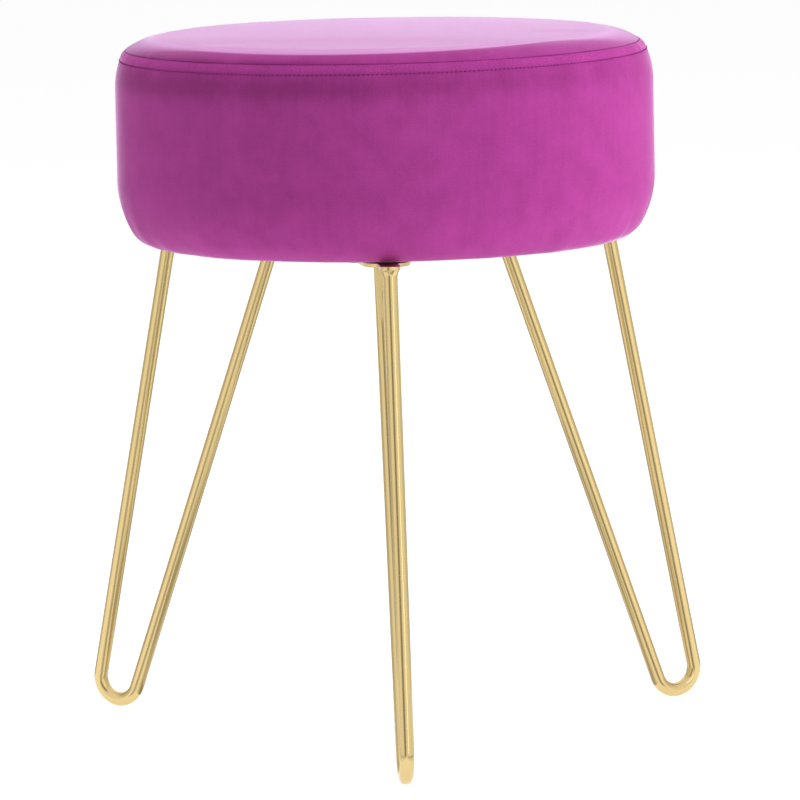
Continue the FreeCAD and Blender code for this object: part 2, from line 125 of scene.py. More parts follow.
def empty_tree(owner):
    """The node tree of a material or a world, with nothing in it yet."""
    owner.use_nodes = True
    owner.node_tree.nodes.clear()
    return owner.node_tree


def open_group(name, kind, takes, gives):
    """A node group and its two ends; each input is named with a start value or a kind of socket."""
    tree = bpy.data.node_groups.new(name, kind)
    for label, value in takes.items():
        socket = SOCKETS.get(type(value), value)
        made = tree.interface.new_socket(label, in_out="INPUT", socket_type=socket)
        if socket is not value:
            made.default_value = value
    for label, socket in gives.items():
        tree.interface.new_socket(label, in_out="OUTPUT", socket_type=socket)
    return tree, tree.nodes.new("NodeGroupInput").outputs, tree.nodes.new("NodeGroupOutput").inputs


def math_node(tree, operation, first, second=0.0, third=0.0):
    return output_of(tree, "ShaderNodeMath", {0: first, 1: second, 2: third}, operation=operation)


def vector_node(tree, operation, first, second=(0, 0, 0)):
    return output_of(tree, "ShaderNodeVectorMath", {0: first, 1: second}, operation=operation)


def weighted(tree, *pairs, base=0.0):
    """The sum of values, each times its share, on top of a base."""
    for value, share in pairs:
        base = math_node(tree, "MULTIPLY_ADD", value, share, base)
    return base


def mix_colour(tree, share, first, second):
    return output_of(tree, "ShaderNodeMix", {0: share, 6: first, 7: second}, 2, data_type="RGBA")


def object_place(tree):
    return output_of(tree, "ShaderNodeTexCoord", output="Object")


print("node helpers ready, for sockets of", [kind.__name__ for kind in SOCKETS])

# %% [markdown]
# ## Floor, backdrop and light
#
# The picture shows the stool on plain white, so the floor and the world are white to the camera
# and to anything that mirrors them. Only those rays see it: the light that falls on the stool
# comes from a dim even world, a glowing table and five soft boxes. The key stands to the right,
# which is why the velvet grows brighter that way, and the one behind grazes the top and makes its
# pile glow. Grey cards are an old trick for polished metal: a rod mirrors them as the lines that
# make it look like metal. A straight rod mirrors a card as an even line only if the card widens
# away from the rod's foot, so each card is a fan, dark along its middle and white at its sides.

# %% Floor
WHITE = (1, 1, 1, 1)


def seen_as_background(tree):
    """1 for rays from the camera, or off metal or through glass; 0 for light on its way to a surface."""
    path = add_node(tree, "ShaderNodeLightPath").outputs
    seen = math_node(tree, "MAXIMUM", path["Is Camera Ray"], path["Is Glossy Ray"])
    return math_node(tree, "MAXIMUM", seen, path["Is Transmission Ray"])


def glowing_paper(tree, grey, strength):
    """Matt paper that also gives light."""
    matt = output_of(tree, "ShaderNodeBsdfDiffuse", {"Color": (grey, grey, grey, 1)})
    glow = output_of(tree, "ShaderNodeEmission", {"Color": WHITE, "Strength": strength})
    return output_of(tree, "ShaderNodeAddShader", {0: matt, 1: glow})


floor_mesh = bpy.data.meshes.new("floor")
floor_shape = bmesh.new()
bmesh.ops.create_grid(floor_shape, x_segments=8, y_segments=8, size=40.0)
floor_shape.to_mesh(floor_mesh)
floor_shape.free()
floor = add_object("floor", floor_mesh)

paper = bpy.data.materials.new("white_paper")
tree = empty_tree(paper)
lit, white = glowing_paper(tree, 0.92, 0.35), glowing_paper(tree, 0.3, 0.91)
choice = output_of(tree, "ShaderNodeMixShader", {0: seen_as_background(tree), 1: lit, 2: white})
add_node(tree, "ShaderNodeOutputMaterial", {"Surface": choice})
floor_mesh.materials.append(paper)
print("floor:", [round(x, 1) for x in floor.dimensions], "m")

# %% World and soft boxes
EVEN_LIGHT = 0.22
STOOL_MIDDLE = Vector((0, 0, 0.35))

scene.world = bpy.data.worlds.new("studio")
tree = empty_tree(scene.world)
strength = weighted(tree, (seen_as_background(tree), 1.0 - EVEN_LIGHT), base=EVEN_LIGHT)
sky = output_of(tree, "ShaderNodeBackground", {"Color": WHITE, "Strength": strength})
add_node(tree, "ShaderNodeOutputWorld", {"Surface": sky})

for name, place, size, power in (
    ("key_light", (2.9, -1.2, 1.3), 1.8, 50.0),
    ("top_light", (-0.4, 0.1, 3.0), 1.8, 43.0),
    ("back_light", (-0.2, 2.8, 1.4), 2.2, 28.0),
    ("left_rim", (-2.8, 1.2, 1.0), 1.0, 5.0),
    ("right_rim", (2.8, 1.3, 1.0), 1.0, 30.0),
):
    lamp = bpy.data.lights.new(name, "AREA")
    lamp.size, lamp.energy = size, power
    box = add_object(name, lamp)
    box.location = place
    box.rotation_euler = (STOOL_MIDDLE - Vector(place)).to_track_quat("-Z", "Y").to_euler()
    box.visible_camera = box.visible_glossy = False

# %% Grey cards
FRONT_FOOT, LEFT_FOOT, RIGHT_FOOT = (0.0, -0.234), (-0.203, 0.117), (0.203, 0.117)
FLAT, UPRIGHT = (0.0, 0.0), (0.0, 2.5)


def grey_card(name, foot, heading, spread, edges, heights, middle):
    """A card that only metal sees, widening away from a foot, from its middle's grey to white sides.

    The near and far edges are given by how far they lie from the foot, and by their heights."""
    (near, far), (low, high) = edges, heights
    corners = ((-1, near, low), (1, near, low), (1, far, high), (-1, far, high))
    mesh = bpy.data.meshes.new(name)
    mesh.from_pydata([(side * spread * away, -away, z) for side, away, z in corners], [], [(0, 1, 2, 3)])
    card = add_object(name, mesh)
    card.location = foot
    card.rotation_euler.z = math.radians(heading)
    grey = bpy.data.materials.new(name)
    tree = empty_tree(grey)
    place = add_node(tree, "ShaderNodeSeparateXYZ", {0: object_place(tree)}).outputs
    aside = math_node(tree, "ABSOLUTE", math_node(tree, "DIVIDE", place[0], place[1]))
    scale = {"Value": aside, "From Max": spread, "To Min": middle, "To Max": 1.0}
    fade = output_of(tree, "ShaderNodeMapRange", scale, interpolation_type="SMOOTHSTEP")
    glow = output_of(tree, "ShaderNodeEmission", {"Color": WHITE, "Strength": fade})
    add_node(tree, "ShaderNodeOutputMaterial", {"Surface": glow})
    mesh.materials.append(grey)
    card.visible_camera = card.visible_diffuse = card.visible_shadow = False


for card in (
    ("front_card", (*FRONT_FOOT, 0.0), -20, 0.50, (2.3, 2.3), UPRIGHT, 0.22),
    ("left_card", (*LEFT_FOOT, 0.002), -7, 0.50, (0.02, 1.6), FLAT, 0.50),
    ("right_card", (*RIGHT_FOOT, 0.003), 7, 0.50, (0.02, 1.6), FLAT, 0.30),
    ("back_card", (0.0, 0.0, 0.004), 180, 6.0, (0.2, 2.0), FLAT, 0.52),
    ("left_side_card", (0.0, 0.0, 0.0), -112, 1.0, (2.5, 2.5), UPRIGHT, 0.58),
    ("right_side_card", (0.0, 0.0, 0.0), 112, 1.0, (2.5, 2.5), UPRIGHT, 0.70),
    ("bright_card", (*FRONT_FOOT, 0.0), 34, 0.14, (2.2, 2.2), (0.3, 2.5), 2.2),
    ("under_card", (0.0, 0.45, 0.344), 0, 0.45, (0.27, 0.62), FLAT, 0.85),
    ("left_inner_card", (*LEFT_FOOT, 0.005), 72, 0.7, (0.02, 0.36), FLAT, 0.30),
    ("right_inner_card", (*RIGHT_FOOT, 0.006), -72, 0.7, (0.02, 0.36), FLAT, 0.45),
):
    grey_card(*card)

# %% [markdown]
# ## Effects that several finishes share
#
# Cloth, foam, wood and metal all vary at two scales: a fine speckle close up and broad soft
# patches further off. Wood, drawn wire and combed pile also run in one direction, which noise
# shows when it is stretched. Handled metal carries smudges and hairline scratches. Each is a
# group, made once and set differently in each finish.

# %% Shared effects
def noise_cloud(tree, vector, scale, **more):
    return output_of(tree, "ShaderNodeTexNoise", {"Vector": vector, "Scale": scale, **more})


def make_speckle():
    takes = {"Vector": VECTOR, "Fine": 800.0, "Broad": 12.0}
    tree, given, end = open_group("speckle", "ShaderNodeTree", takes, {"Fine": FLOAT, "Broad": FLOAT})
    for scale, detail in (("Fine", 3.0), ("Broad", 4.0)):
        cloud = noise_cloud(tree, given["Vector"], given[scale], Detail=detail, Roughness=0.6)
        tree.links.new(cloud, end[scale])
    return tree


def make_streaks():
    takes = {"Vector": VECTOR, "Stretch": (1, 1, 1), "Waver": 0.0}
    tree, given, end = open_group("streaks", "ShaderNodeTree", takes, {"Streak": FLOAT})
    drawn = vector_node(tree, "MULTIPLY", given["Vector"], given["Stretch"])
    tree.links.new(noise_cloud(tree, drawn, 1.0, Detail=5.0, Distortion=given["Waver"]), end["Streak"])
    return tree


def make_handling():
    takes = {"Vector": VECTOR, "Smudges": 30.0, "Scratches": 300.0}
    tree, given, end = open_group("handling", "ShaderNodeTree", takes, {"Smudge": FLOAT, "Scratch": FLOAT})
    cloud = noise_cloud(tree, given["Vector"], given["Smudges"], Detail=6.0, Distortion=0.6)
    cells = {"Vector": given["Vector"], "Scale": given["Scratches"]}
    edge = output_of(tree, "ShaderNodeTexVoronoi", cells, "Distance", feature="DISTANCE_TO_EDGE")
    narrow = {"Value": edge, "From Max": 0.03, "To Min": 1.0, "To Max": 0.0}
    hairline = output_of(tree, "ShaderNodeMapRange", narrow)
    some = math_node(tree, "GREATER_THAN", cloud, 0.56)
    tree.links.new(cloud, end["Smudge"])
    tree.links.new(math_node(tree, "MULTIPLY", hairline, some), end["Scratch"])
    return tree


speckle, streaks, handling = make_speckle(), make_streaks(), make_handling()
print("shared effects:", [group.name for group in (speckle, streaks, handling)])


# %% Starting a finish
def start_finish(name, **sockets):
    """A new material, its tree and its Principled shader's sockets, with their constant values set."""
    finish = bpy.data.materials.new(name)
    finish.use_nodes = True
    surface = finish.node_tree.nodes["Principled BSDF"].inputs
    for label, value in sockets.items():
        surface[label.replace("_", " ")].default_value = value
    return finish, finish.node_tree, surface


def place_group(tree, group, vector, **values):
    """The outputs of a shared effect in a finish, with this finish's own values."""
    return add_node(tree, "ShaderNodeGroup", {"Vector": vector, **values}, node_tree=group).outputs


def add_bump(tree, surface, height, depth, strength=1.0):
    bump = {"Height": height, "Distance": depth, "Strength": strength}
    tree.links.new(output_of(tree, "ShaderNodeBump", bump), surface["Normal"])


print("finishes start from", [n.name for n in bpy.data.node_groups])

# %% [markdown]
# ## Velvet
#
# Velvet is a short upright pile. Looked at straight on it is deep, because the light is lost
# between the fibres; looked at along the surface the fibre tips catch the light and it turns pale.
# The Principled shader's sheen does just that, so the top of the seat pales by itself. The cloth's
# own map, in metres, carries the fine grain, the combed streaks and the broad patches that hands
# leave. Three values painted on the mesh say where shade is painted into the seam's crease, where
# the strip that is sewn double is livelier and painted shade darkens the band below it and the top
# beside the seam, and where a pale sheen is painted over the top's shoulder, mixed in by a Layer
# Weight so that it shows where the surface is seen along it.

# %% Velvet finish
DEEP_MAGENTA = (0.32, 0.033, 0.215, 1)
BRIGHT_MAGENTA = (0.60, 0.072, 0.425, 1)
# painted shade for the seam's crease
CREASE_SHADE_MAGENTA = (0.20, 0.010, 0.125, 1)
# painted sheen: a pale colour mixed over the top's shoulder
PAINTED_SHEEN_MAGENTA = (0.74, 0.31, 0.67, 1)


def velvet_finish(name, sheen_roughness, sheen_tint):
    """One panel's velvet; the panels differ in how their pile was laid."""
    finish, tree, surface = start_finish(
        name, Roughness=0.85, Specular_IOR_Level=0.15,
        Sheen_Weight=1.0, Sheen_Roughness=sheen_roughness, Sheen_Tint=sheen_tint,
    )
    cloth_map = output_of(tree, "ShaderNodeUVMap", uv_map="cloth")
    pile = place_group(tree, speckle, cloth_map, Fine=950.0, Broad=45.0)
    nap = place_group(tree, streaks, cloth_map, Stretch=(260.0, 14.0, 1.0), Waver=0.3)
    strip, painted_crease_shade, painted_sheen = (
        output_of(tree, "ShaderNodeAttribute", output="Fac", attribute_name=label)
        for label in ("strip", "painted_crease_shade", "painted_sheen")
    )
    contrast = weighted(tree, (math_node(tree, "MAXIMUM", strip, 0.0), 2.6), base=0.6)
    grain = math_node(tree, "SUBTRACT", pile["Fine"], 0.5)
    # the strip value lightens the sewn strip, and where it is negative it darkens the cloth as painted
    # shade
    share = weighted(
        tree, (grain, contrast), (pile["Broad"], 0.7), (nap["Streak"], 0.18), (strip, 0.12), base=-0.02
    )
    colour = mix_colour(tree, share, DEEP_MAGENTA, BRIGHT_MAGENTA)
    # painted sheen: the pale colour shows on the top's shoulder where the surface is seen along it
    along = output_of(tree, "ShaderNodeLayerWeight", {"Blend": 0.5}, "Facing")
    along = {"Value": along, "From Min": 0.30, "From Max": 0.45}
    along = output_of(tree, "ShaderNodeMapRange", along, interpolation_type="SMOOTHSTEP")
    colour = mix_colour(tree, math_node(tree, "MULTIPLY", painted_sheen, along), colour, PAINTED_SHEEN_MAGENTA)
    # painted shade darkens the seam's crease
    colour = mix_colour(tree, painted_crease_shade, colour, CREASE_SHADE_MAGENTA)
    tree.links.new(colour, surface["Base Color"])
    add_bump(tree, surface, weighted(tree, (pile["Fine"], 0.7), (nap["Streak"], 0.3)), 0.25 * MM, 0.5)
    return finish


top_velvet = velvet_finish("velvet_top_panel", 0.27, (0.90, 0.73, 1.0, 1))
band_velvet = velvet_finish("velvet_side_band", 0.19, (0.96, 0.66, 1.0, 1))
print("velvet nodes:", len(top_velvet.node_tree.nodes))

# %% [markdown]
# ## The seat's outline
#
# In half section the seat is a chain of tangent arcs: a gently crowned top, a round shoulder, a
# small edge where the top panel is sewn to the band, a full side and a corner that turns under.
# One table of that chain serves every soft layer. A place on the cover is then given by how far it
# lies below the seam along the cloth (above the seam is negative) and by its angle round the seat.
# In the picture the cover sits a little askew, so the seam lies lower at the front left.

# %% Outline of the cover
HEIGHT, SEAT_RADIUS, UNDERSIDE = 499 * MM, 190 * MM, 350 * MM
DRUM_RADIUS, HEM_REACH = 160.4 * MM, 135.4 * MM
VELVET, WADDING = 1.6 * MM, 4 * MM
CROWN_SLOPE, SEAM_LEAN, LOWER_TURN = 1.6, 38.5, 30.0
UPRIGHT_LEAN = 90.0
RIM = [(44 * MM, CROWN_SLOPE, 34.0), (14 * MM, 34.0, 66.0), (53 * MM, 66.0, UPRIGHT_LEAN)]
LOWER_RADIUS = 68 * MM
ARC_STEPS = 79


def lean_vector(lean):
    return np.array([math.sin(math.radians(lean)), math.cos(math.radians(lean))])


def outline_table():
    """Reach, height and lean of the outer face, from the middle of the top to the hem's inner edge."""
    rim_reach = sum(radius * (lean_vector(last)[0] - lean_vector(first)[0]) for radius, first, last in RIM)
    crown = ((SEAT_RADIUS - rim_reach) / lean_vector(CROWN_SLOPE)[0], 0.0, CROWN_SLOPE)
    turned_in = LOWER_RADIUS * (1 - math.cos(math.radians(LOWER_TURN)))
    corner = (SEAT_RADIUS - DRUM_RADIUS - turned_in) / math.cos(math.radians(LOWER_TURN))
    rise = LOWER_RADIUS * 0.5 + corner * 0.5  # both arcs meet at 30 degrees, whose sine is a half
    turned = UPRIGHT_LEAN + LOWER_TURN
    rows = [(0.0, HEIGHT, 0.0)]
    side = [(LOWER_RADIUS, UPRIGHT_LEAN, turned), (corner, turned, 180.0)]
    for radius, first, last in [crown] + RIM + side:
        if first == UPRIGHT_LEAN:
            rows.append((SEAT_RADIUS, UNDERSIDE + rise, first))
        centre = np.array(rows[-1][:2]) - lean_vector(first) * radius
        for lean in np.linspace(first, last, ARC_STEPS + 1)[1:]:
            rows.append((*(centre + lean_vector(lean) * radius), lean))
    return np.array(rows + [(HEM_REACH, UNDERSIDE, 180.0)])


table = outline_table()
run = np.concatenate([[0.0], np.cumsum(np.hypot(*np.diff(table[:, :2], axis=0).T))])
above_side = slice(4 * ARC_STEPS)  # the crown and the rim's three arcs
run -= np.interp(SEAM_LEAN, table[above_side, 2], run[above_side])
TOP_START, HEM_END = run[0], run[-1]


def outline(below):
    """Reach, height and lean of the cover at distances below the seam."""
    return tuple(np.interp(below, run, column) for column in table.T)


print(f"cloth: middle to seam {-TOP_START / MM:.1f} mm, seam to hem {HEM_END / MM:.1f} mm")


# %% Placing points on the cover
ASKEW, LOW_SIDE = 1.9 * MM, math.radians(230)


def hill(x, middle, width):
    return np.exp(-(((x - middle) / width) ** 2))


def cover_points(below, angle, lift):
    """Points of the cover, lifted off its outline along the cloth's outward direction."""
    slid = ASKEW * np.cos(angle - LOW_SIDE) * hill(below, 0, 45 * MM)
    reach, height, lean = outline(below + slid)
    lean = np.radians(lean)
    reach = reach + lift * np.sin(lean)
    height = height + lift * np.cos(lean)
    return np.stack([reach * np.cos(angle), reach * np.sin(angle), height + 0 * angle], axis=-1)


def cover_grid(below, angles, lift):
    """The same for rows below the seam and columns round the seat."""
    return cover_points(below[:, None] + 0 * angles, angles + 0 * below[:, None], lift)


print("a point on the front of the side:", cover_points(60 * MM, -math.pi / 2, 0.0).round(4))


# %% Meshes from rings of points
def loft(name, stacks, closed, finish=None, sharp=None):
    """A piece through stacks of rings; a stack is closed on itself or runs from pole to pole.

    With it come the points' numbers, and the ring and column of every face's corners."""
    points, faces, marks = [], [], []
    for rings in stacks:
        count, columns = np.shape(rings)[:2]
        index = np.zeros((count, columns), int)
        for row, ring in enumerate(rings):
            pole = not closed and row in (0, count - 1)
            index[row] = len(points) + (0 if pole else np.arange(columns))
            points.extend(ring[:1] if pole else ring)
        for row in range(count if closed else count - 1):
            under = (row + 1) % count
            for column in range(columns):
                corners = {}
                for r, c in ((row, column), (under, column), (under, column + 1), (row, column + 1)):
                    corners.setdefault(int(index[r, c % columns]), (r, c))
                faces.append(list(corners))
                marks.extend(corners.values())
    mesh = bpy.data.meshes.new(name)
    mesh.from_pydata([tuple(p) for p in points], [], faces)
    mesh.shade_smooth()
    if sharp:
        mesh.set_sharp_from_angle(angle=math.radians(sharp))
    if finish:
        mesh.materials.append(finish)
    return add_object(name, mesh), index, np.array(marks)


def there_and_back(outer, inner):
    """The rings of a closed shell: down its outer face and back up its inner one."""
    return np.concatenate([outer, inner[::-1]])


print("pieces are lofted through rings round the axis")

# %% [markdown]
# ## Blowing up the cover
#
# An upholsterer cuts the cover a little small, so the foam pushes it tight. A simulation does the
# same: a copy of the cover starts a few millimetres inside its outline, the seam and the hem are
# held, and Cloth inflates the rest. Patches of the cloth are told to shrink or give by a percent,
# as real velvet does. How far each point moved is kept as a table over the cover, evened out as
# the foam behind does, and the finely meshed panels that are shown are lifted by it.

# %% Start of the cloth simulation
START_INSIDE = 3.2 * MM


def start_shell():
    """The cover as one closed shell, drawn in between the seam and the hem."""
    below = np.concatenate([np.linspace(TOP_START, -1 * MM, 40), np.linspace(1 * MM, HEM_END, 40)])
    off_seam = np.clip(np.abs(below) / (25 * MM), 0, 1)
    off_hem = np.clip((HEM_END - 26 * MM - below) / (20 * MM), 0, 1)
    grid = cover_grid(below, full_turn(120), (-START_INSIDE * off_seam * off_hem)[:, None])
    grid = np.concatenate([grid[1:], grid[-1:] * [0.5, 0.5, 1.0]])
    shell = bmesh.new()
    rings = [[shell.verts.new(p) for p in ring] for ring in grid]
    for upper, lower in zip(rings, rings[1:]):
        for n in range(len(upper)):
            m = (n + 1) % len(upper)
            shell.faces.new((upper[n], lower[n], lower[m], upper[m]))
    shell.faces.new(rings[0])
    shell.faces.new(rings[-1][::-1])
    bmesh.ops.recalc_face_normals(shell, faces=shell.faces)
    mesh = bpy.data.meshes.new("cover_start")
    shell.to_mesh(mesh)
    shell.free()
    return mesh


def below_seam(points):
    """How far below the seam each point lies, from the nearest place on the outline."""
    places = zip(np.hypot(points[:, 0], points[:, 1]), points[:, 2])
    return np.array([run[np.argmin((table[:, 0] - r) ** 2 + (table[:, 1] - z) ** 2)] for r, z in places])


print(f"the cover starts {START_INSIDE / MM:.1f} mm inside its outline")

# %% Cloth simulation
MOST_SWELL = 6.0 * MM
CLOTH_MESH = 6 * MM
CLOTH_STEPS = 20


def swell_cover():
    """Start points and outward movement of the cover blown up by Cloth."""
    copy = add_object("cover_copy", start_shell())
    bpy.context.view_layer.objects.active = copy
    copy.data.remesh_voxel_size = CLOTH_MESH
    with bpy.context.temp_override(object=copy, active_object=copy, selected_objects=[copy]):
        bpy.ops.object.voxel_remesh()
    start = np.array([v.co for v in copy.data.vertices])
    below = below_seam(start)
    held = (np.abs(below) < 4 * MM) | (below > HEM_END - 30 * MM) | (start[:, 2] < UNDERSIDE + 3 * MM)
    pins, give = copy.vertex_groups.new(name="held"), copy.vertex_groups.new(name="give")
    pins.add([int(i) for i in np.nonzero(held)[0]], 1.0, "REPLACE")
    for vertex in copy.data.vertices:
        weight = 0.5 + 0.8 * noise.noise(vertex.co * 13.0)
        give.add([vertex.index], min(1.0, max(0.0, weight)), "REPLACE")
    cloth = copy.modifiers.new("cloth", "CLOTH")
    cloth.settings.quality = 6
    cloth.settings.mass = 0.2
    cloth.settings.tension_stiffness = cloth.settings.compression_stiffness = 40
    cloth.settings.bending_stiffness = 10
    cloth.settings.vertex_group_mass = "held"
    cloth.settings.vertex_group_shrink = "give"
    cloth.settings.shrink_min, cloth.settings.shrink_max = -0.006, 0.002
    cloth.settings.use_pressure = True
    cloth.settings.uniform_pressure_force = 4.0
    cloth.settings.effector_weights.gravity = 0.0
    cloth.point_cache.frame_end = CLOTH_STEPS
    for step in range(1, CLOTH_STEPS + 1):
        scene.frame_set(step)
    blown = copy.evaluated_get(bpy.context.evaluated_depsgraph_get()).to_mesh()
    end = np.array([v.co for v in blown.vertices])
    scene.frame_set(1)
    bpy.data.objects.remove(copy)
    lean = np.radians(outline(below)[2])
    angle = np.arctan2(start[:, 1], start[:, 0])
    outward = np.stack([np.sin(lean) * np.cos(angle), np.sin(lean) * np.sin(angle), np.cos(lean)], axis=-1)
    return start, np.clip(np.sum((end - start) * outward, axis=-1), 0.0, MOST_SWELL)


print("cloth runs for", CLOTH_STEPS, "frames")

# %% Swell table
SWELL_BELOW = np.linspace(TOP_START, HEM_END, 100)
SWELL_ANGLE = full_turn(180) - math.pi
FOAM_SHARE = 0.25  # what is left of the unevenness once the foam has evened it out
NEAREST = 24  # points of the simulation that make one entry


def swell_table():
    """The simulated movement over the cover, smoothed from its nearest points."""
    start, moved = swell_cover()
    tree = KDTree(len(start))
    for n, point in enumerate(start):
        tree.insert(point, n)
    tree.balance()
    grid = np.zeros((len(SWELL_BELOW), len(SWELL_ANGLE)))
    for row, below in enumerate(SWELL_BELOW):
        for column, angle in enumerate(SWELL_ANGLE):
            near = tree.find_n(cover_points(below, angle, -START_INSIDE / 2), NEAREST)
            weight = np.array([1 / (distance + 2 * MM) for _, _, distance in near])
            grid[row, column] = np.dot(weight, [moved[n] for _, n, _ in near]) / weight.sum()
    print(f"cloth moved {moved.mean() / MM:.2f} mm on average, {moved.max() / MM:.2f} mm at most")
    return grid


swell = swell_table()
uneven = FOAM_SHARE * (swell - swell.mean(axis=1, keepdims=True))
print(f"uneven swelling: {uneven.std() / MM:.3f} mm, at most {np.abs(uneven).max() / MM:.2f} mm")

# %% [markdown]
# ## Seam, topstitching and puckers
#
# The top panel and the band meet in a seam that pulls both edges in, so each rolls over into a
# narrow line that lies in shade, which the velvet's finish deepens with painted shade. Under it the
# seam allowance is folded down and topstitched, which makes a strip about eight millimetres wide
# that stands up like a thin pillow, with a groove where the thread bites.
# Thread pulls cloth together unevenly, and that is what puckers are. They are too fine for the
# simulation, so they are added to its result as waves round the seat that fade away from the seam.

# %% Lift of the cover
STITCH_ROW = 8.0 * MM  # down the band from the seam
SEAM_ROLL = 0.45 * MM
LOW_BULGE = 134 * MM  # down the band, where the corner turns under
CORNER_END = HEM_END - 25 * MM  # where the band lies flat under the drum
BACK = math.pi / 2  # the band's own join is at the back


def wave(angle, turns, seed):
    """A smooth random wave round the seat, the same each run."""
    places = [(turns * math.cos(a), turns * math.sin(a), seed) for a in angle]
    return np.array([noise.noise(Vector(p)) for p in places])


def swell_at(below, angle):
    """The simulated unevenness on a grid of places, read from the table."""
    rows = np.array([np.interp(below, SWELL_BELOW, column) for column in uneven.T]).T
    return np.array([np.interp(angle, SWELL_ANGLE, row, period=2 * math.pi) for row in rows])


def cover_lift(below, angle):
    """How far the cover stands off its outline, on a grid of places."""
    s = below[:, None]
    inside = np.clip(SEAM_ROLL - np.abs(s), 0, SEAM_ROLL)
    rolled = SEAM_ROLL - np.sqrt(SEAM_ROLL**2 - inside**2)
    on_strip = np.where((s > 0) & (s < STITCH_ROW), np.sin(math.pi * np.clip(s / STITCH_ROW, 0, 1)), 0)
    under_stitch = np.where(s > STITCH_ROW, np.exp(-(s - STITCH_ROW) / (11 * MM)), 0)
    on_top = np.where(s < 0, np.exp(s / (7 * MM)), 0)
    held = np.clip((CORNER_END - s) / (14 * MM), 0, 1)
    uneven_pull = 0.6 + wave(angle, 4, 6.5)
    bulge = wave(angle, 5, 9.5) * 1.2 + wave(angle, 13, 3.5) * 0.7
    lift = swell_at(below, angle) * np.clip(np.abs(s) / (12 * MM), 0, 1) * held
    lift = lift - rolled - 0.25 * MM * hill(s, STITCH_ROW, 1.0 * MM)
    lift = lift + on_strip * (0.35 + 0.4 * wave(angle, 28, 1.5)) * MM
    lift = lift + under_stitch * wave(angle, 19, 4.5) * uneven_pull * 0.5 * MM
    lift = lift + on_top * wave(angle, 17, 7.5) * uneven_pull * 0.4 * MM
    lift = lift + held * hill(s, LOW_BULGE, 24 * MM) * bulge * MM
    join = hill(np.mod(angle - BACK + math.pi, 2 * math.pi) - math.pi, 0, 1.3 * MM / SEAT_RADIUS)
    return lift - np.where(s > 0, held * 0.9 * MM, 0) * join


print("lift on the stitch row:", (cover_lift(np.array([STITCH_ROW]), np.linspace(0, 1, 4)) / MM).round(2))

# %% [markdown]
# ## The velvet panels
#
# The cover is two pieces of cloth, as on the real seat: a round top and a band. Each is a closed
# shell of the velvet's own thickness. Rows lie close together where the seam and the stitches need
# them, and wide apart on the plain side. The band's map is unrolled like the strip it was cut from;
# the top's map is seen from above, because that panel was cut flat.

# %% Painted values
COLUMNS = 480
PAINTED_SHEEN_SIDE = math.radians(252)  # round which a pale sheen is painted over the top's shoulder
angles = full_turn(COLUMNS)


def painted_values(below, on_top):
    """How lively a panel's cloth is, and where shade and sheen are painted on it, on its grid of places.
    """
    s = below[:, None]
    low_side = np.clip(np.cos(angles - LOW_SIDE), 0, 1)
    patchy = 1 + 0.6 * wave(angles, 5, 2.5)
    strip = 0.8 * np.clip((s - 0.8 * MM) / MM, 0, 1) * np.clip((STITCH_ROW - 0.5 * MM - s) / MM, 0, 1)
    if on_top:
        # painted shade: along the seam on the top, and in a band below the stitch row on the band, darkest
        # towards the low, front-left side
        darker_tone = hill(s, 0, 4.5 * MM) * (0.1 + 4.2 * low_side**5)
    else:
        darker_tone = hill(s, STITCH_ROW + 10 * MM, 9 * MM) * (1.1 + 2.3 * low_side)
    # painted shade in the seam's crease, patchy round the seat
    painted_crease_shade = 0.75 * hill(s, 0, 0.6 * MM) * (1.5 * patchy - 0.5)
    # painted sheen over the top's shoulder, its lower edge nearest the seam towards the front and at the
    # far left and right
    ends = np.clip((np.abs(np.cos(angles)) - 0.66) / 0.34, 0, 1) ** 2  # far left and right
    reach = -11.8 - 16 * (1 - np.cos(angles - PAINTED_SHEEN_SIDE)) + ends * np.where(np.cos(angles) > 0, 26, 12)
    painted_sheen = np.clip((reach * MM - s) / ((2 + 16 * ends) * MM) + 0.5, 0, 1)
    painted_sheen = painted_sheen * np.clip((s + 26.5 * MM) / (7 * MM), 0, 1)
    return {"strip": (strip - darker_tone) * patchy, "painted_crease_shade": painted_crease_shade, "painted_sheen": painted_sheen}


print("painted on", COLUMNS, "columns:", list(painted_values(np.zeros(1), True)))

# %% Velvet top and band
edge_rows = np.array([0, 0.08, 0.2, 0.4, 0.6, 0.8, 1.2]) * MM
band_rows = np.concatenate([
    edge_rows, np.arange(2.0, 12.0, 0.65) * MM, np.arange(13, 150, 3.1) * MM,
    np.linspace(CORNER_END, HEM_END, 4),
])
top_rows = np.concatenate([
    np.linspace(TOP_START, -60 * MM, 20), np.arange(-57, -26, 2.2) * MM,
    np.arange(-25.2, -1.9, 0.9) * MM, -edge_rows[::-1],
])


def velvet_piece(name, finish, below, on_top):
    """One panel of the cover, with its painted values."""
    lift = cover_lift(below, angles)
    rings = there_and_back(cover_grid(below, angles, lift), cover_grid(below, angles, lift - VELVET))
    piece, index, marks = loft(name, [rings], closed=not on_top, finish=finish)
    for label, values in painted_values(below, on_top).items():
        painted = np.zeros(len(piece.data.vertices))
        painted[index] = there_and_back(values, values)
        piece.data.attributes.new(label, "FLOAT", "POINT").data.foreach_set("value", painted)
    return piece, marks


def add_cloth_map(piece, pairs):
    layer = piece.data.uv_layers.new(name="cloth")
    layer.data.foreach_set("uv", np.asarray(pairs, dtype=np.float32).ravel())


